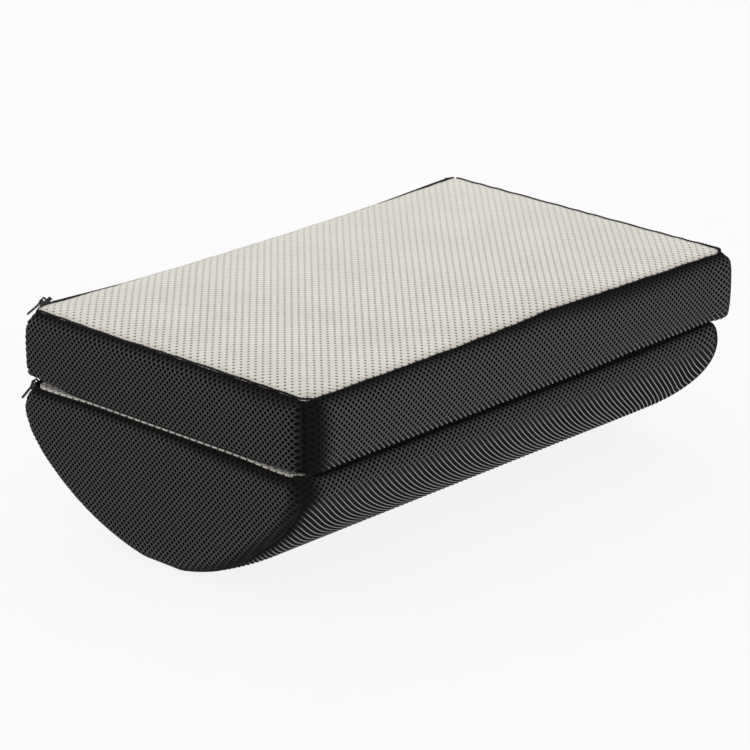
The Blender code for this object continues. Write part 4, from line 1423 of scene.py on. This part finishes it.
def strip_back(half, up, base, roughness):
    """The strip's face with its rim: roughness gives random heights for so many points."""
    columns, rows = round(2 * half[0] / STRIP_STEP), round(2 * half[1] / STRIP_STEP)
    i, j = [a.ravel() for a in np.meshgrid(np.arange(columns + 1), np.arange(rows + 1), indexing="ij")]
    x, y = i * STRIP_STEP - half[0], j * STRIP_STEP - half[1]
    x, y = round_corners(x, y, half[0], half[1], STRIP_CORNER)
    off_rim = (np.minimum(i, columns - i) > 3) & (np.minimum(j, rows - j) > 3)
    points = np.stack([x, y, base + up * roughness(len(i)) * off_rim], 1)
    quads = grid_quads(np.arange(len(i)).reshape(columns + 1, rows + 1))
    normal = np.tile([0.0, 0.0, up], (len(i), 1))
    points, faces, _ = add_hem(points, quads.tolist(), normal, i, j, columns, rows, STRIP_BASE)
    return points, faces


def hooks(half, up, base, height):
    """Rows of small bent hooks, each a leaning four-sided pin with a wider head."""
    x = np.arange(HOOK_MARGIN - half[0], half[0] - HOOK_MARGIN, HOOK_PITCH)
    y = np.arange(HOOK_MARGIN - half[1], half[1] - HOOK_MARGIN, HOOK_PITCH)
    x, y = [a.ravel()[:, None] for a in np.meshgrid(x, y, indexing="ij")]
    square = np.array([(-1, -1), (1, -1), (1, 1), (-1, 1)])
    rings = []
    for share, size, lean in HOOK_RINGS:
        ring = np.stack([x + size * square[:, 0] + lean, y + size * square[:, 1]], -1)
        level = np.full((*ring.shape[:2], 1), base + up * height * share)
        rings.append(np.concatenate([ring, level], -1))
    points = np.stack(rings, 1).reshape(-1, 3)
    foot = np.arange(len(x)) * 16
    faces = []
    for low in (foot, foot + 4, foot + 8):
        for k in range(4):
            n = (k + 1) % 4
            faces.append(np.stack([low + k, low + n, low + 4 + n, low + 4 + k], 1))
    faces.append(np.stack([foot + 12, foot + 13, foot + 14, foot + 15], 1))
    return points, np.concatenate(faces).tolist()


def border_stitches(half, height):
    """Dashes of thread round the strip, just inside its edge."""
    x, y = half[0] - 1.3, half[1] - 1.3
    ring = resample(np.array([(-x, -y), (x, -y), (x, y), (-x, y), (-x, -y)]), 1.4)
    ring = np.column_stack([ring, np.full(len(ring), height)])
    return [ring[k : k + 2] for k in range(0, len(ring) - 1, 2)]


def build_strips():
    """Hooks on the bolster's flat top, and the loops that they hold under the slab."""
    random = np.random.default_rng(STRIP_SEED)
    kinds = (("lower_hook_strip", "lower_cushion", 1), ("upper_loop_strip", "upper_cushion", -1))
    for kind, body, up in kinds:
        for end in ("left", "right"):
            node = f"{kind}_{end}"
            low, high = box_mm(node)
            half, middle = (high - low) / 2, (high + low) / 2
            base = up * (STRIP_BASE - half[2])
            height = 2 * half[2] - STRIP_BASE
            roughness = 0.05 if up > 0 else height
            points, faces = strip_back(half, up, base, lambda count: roughness * random.random(count))
            if up > 0:
                more, more_faces = hooks(half, up, base, height)
                faces = faces + [[k + len(points) for k in face] for face in more_faces]
                points = np.concatenate([points, more])
            else:
                faces = [face[::-1] for face in faces]
            piece = make_mesh(node.replace("strip", "tape"), points + middle, faces, HOOK)
            finish_piece(piece, body, "hook_and_loop", node)
            lines = [line + middle for line in border_stitches(half, base + up * 0.06)]
            finish_piece(tube(f"{node}_stitches", lines, 0.16, STITCH, 1), body, "seam_thread")


# ---------------------------------------------------------------- the two cushions

# flat sizes are in metres, as the sheets were cut
CUSHIONS = {
    "upper": SimpleNamespace(
        middle=SLAB_X,
        half_length=SLAB_HALF_LENGTH,
        half_width=SLAB_HALF_WIDTH,
        top=SLAB_TOP,
        wrap=slab_wrap,
        wrap_width=slab_width,
        slack_and_seam_shade=slab_slack_and_seam_shade,
        stretch_and_highlight=slab_stretch_and_highlight,
        wrap_flat={"flat": (0.362, 0.426)},
        panel={"half_size": SLAB_PANEL_HALF, "hem": 1.5, "shade": 1.0, "dark_corner": (9, 9)},
        top_surface=slab_top_surface,
        top_stray=slab_sag,
        top_flat={"flat": (0.266, 0.428)},
        cord=UPPER_CORD,
        rim_steps=200,
        end_tuck={-1: 1.0, 1: 1.0},
        end_swell=slab_end_swell,
        end_slack=slab_end_slack_and_seam_shade,
        end_flat={"flat": (0.054, 0.27)},
    ),
    "lower": SimpleNamespace(
        middle=0.0,
        half_length=BOLSTER_HALF_LENGTH,
        half_width=BOLSTER_HALF_WIDTH,
        top=BOLSTER_TOP,
        wrap=bolster_wrap,
        wrap_width=bolster_width,
        slack_and_seam_shade=bolster_slack_and_seam_shade,
        stretch_and_highlight=bolster_stretch_and_highlight,
        wrap_flat={"flat": (0.36, 0.419)},
        panel={"half_size": BOLSTER_PANEL_HALF, "hem": 1.8, "shade": 0.1, "dark_corner": (20, 60)},
        top_surface=bolster_top_surface,
        top_stray=bolster_lift,
        top_flat={"flat": (0.262, 0.421)},
        cord=LOWER_CORD,
        rim_steps=220,
        end_tuck={-1: 2.0, 1: 1.0},
        end_swell=bolster_end_swell,
        end_slack=bolster_end_slack_and_seam_shade,
        end_flat={"flat": (0.098, 0.277), "area": 0.0212},
    ),
}


def finish_sheet(piece, prefix, slot, node, cut):
    finish_piece(piece, f"{prefix}_cushion", slot, node)
    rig.sheet(piece, held="stretched", rests_on=[f"{prefix}_foam"], **cut)


def build_covers():
    for prefix, c in CUSHIONS.items():
        wrap = mesh_cloth(f"{prefix}_wrap", c.wrap, 2 * c.half_length, c.wrap_width, c.slack_and_seam_shade, c.stretch_and_highlight)
        finish_sheet(wrap, prefix, "air_mesh", f"{prefix}_wrap_panel", c.wrap_flat)
    for prefix, c in CUSHIONS.items():
        top = perforated_panel(f"{prefix}_top", surface=c.top_surface, **c.panel)
        finish_sheet(top, prefix, "perforated_cloth", f"{prefix}_top_panel", c.top_flat)
    for end, side in (("left", -1), ("right", 1)):
        for prefix, c in CUSHIONS.items():
            x = c.middle + side * c.half_length
            name = f"{prefix}_{end}_end"
            panel = end_cloth(name, side, x, end_line(c, side), c.end_swell, c.end_slack)
            finish_sheet(panel, prefix, "air_mesh", f"{name}_panel", c.end_flat)


# ---------------------------------------------------------------- studio


def build_studio():
    """A white lit table, even light all round, and some light up through the table."""
    bpy.ops.mesh.primitive_plane_add(size=FLOOR_SIZE, location=(0, 0, FLOOR_LEVEL))
    floor = bpy.context.object
    floor.name = "studio_floor"
    floor.data.materials.append(floor_material())
    floor.visible_shadow = False
    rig.stage(floor)
    world = bpy.data.worlds.new("studio")
    bpy.context.scene.world = world
    world.use_nodes = True
    background = world.node_tree.nodes["Background"]
    background.inputs["Color"].default_value = rgba(WORLD_GREY)
    background.inputs["Strength"].default_value = 1.0
    for name, place, aim, power, size in LIGHTS:
        light = bpy.data.lights.new(name, "AREA")
        light.energy = power
        light.size = size
        obj = add_object(name, light)
        obj.location = place
        obj.rotation_euler = (Vector(place) - Vector(aim)).to_track_quat("Z", "Y").to_euler()


def build_camera():
    flat = math.cos(CAMERA_ELEVATION)
    back = Vector(
        (math.sin(CAMERA_AZIMUTH) * flat, -math.cos(CAMERA_AZIMUTH) * flat, math.sin(CAMERA_ELEVATION))
    )
    camera = bpy.data.cameras.new("camera")
    camera.angle = CAMERA_ANGLE
    camera.shift_x, camera.shift_y = CAMERA_SHIFT
    camera.clip_start = 0.1
    obj = add_object("camera", camera)
    obj.location = Vector((SLAB_X, 0, SLAB_BOTTOM)) * 0.001 + back * CAMERA_DISTANCE
    obj.rotation_euler = back.to_track_quat("Z", "Y").to_euler()
    bpy.context.scene.camera = obj
    bpy.context.scene.view_settings.view_transform = "Standard"


build_foam()
build_covers()
for cushion_name, cushion_parts in CUSHIONS.items():
    build_seams(cushion_name, cushion_parts)
build_zips()
build_strips()
build_studio()
build_camera()
with open("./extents.json", "w") as out:
    json.dump({"cad": [list(c) for c in cad_bounds], "now": [list(c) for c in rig.bounds()]}, out)
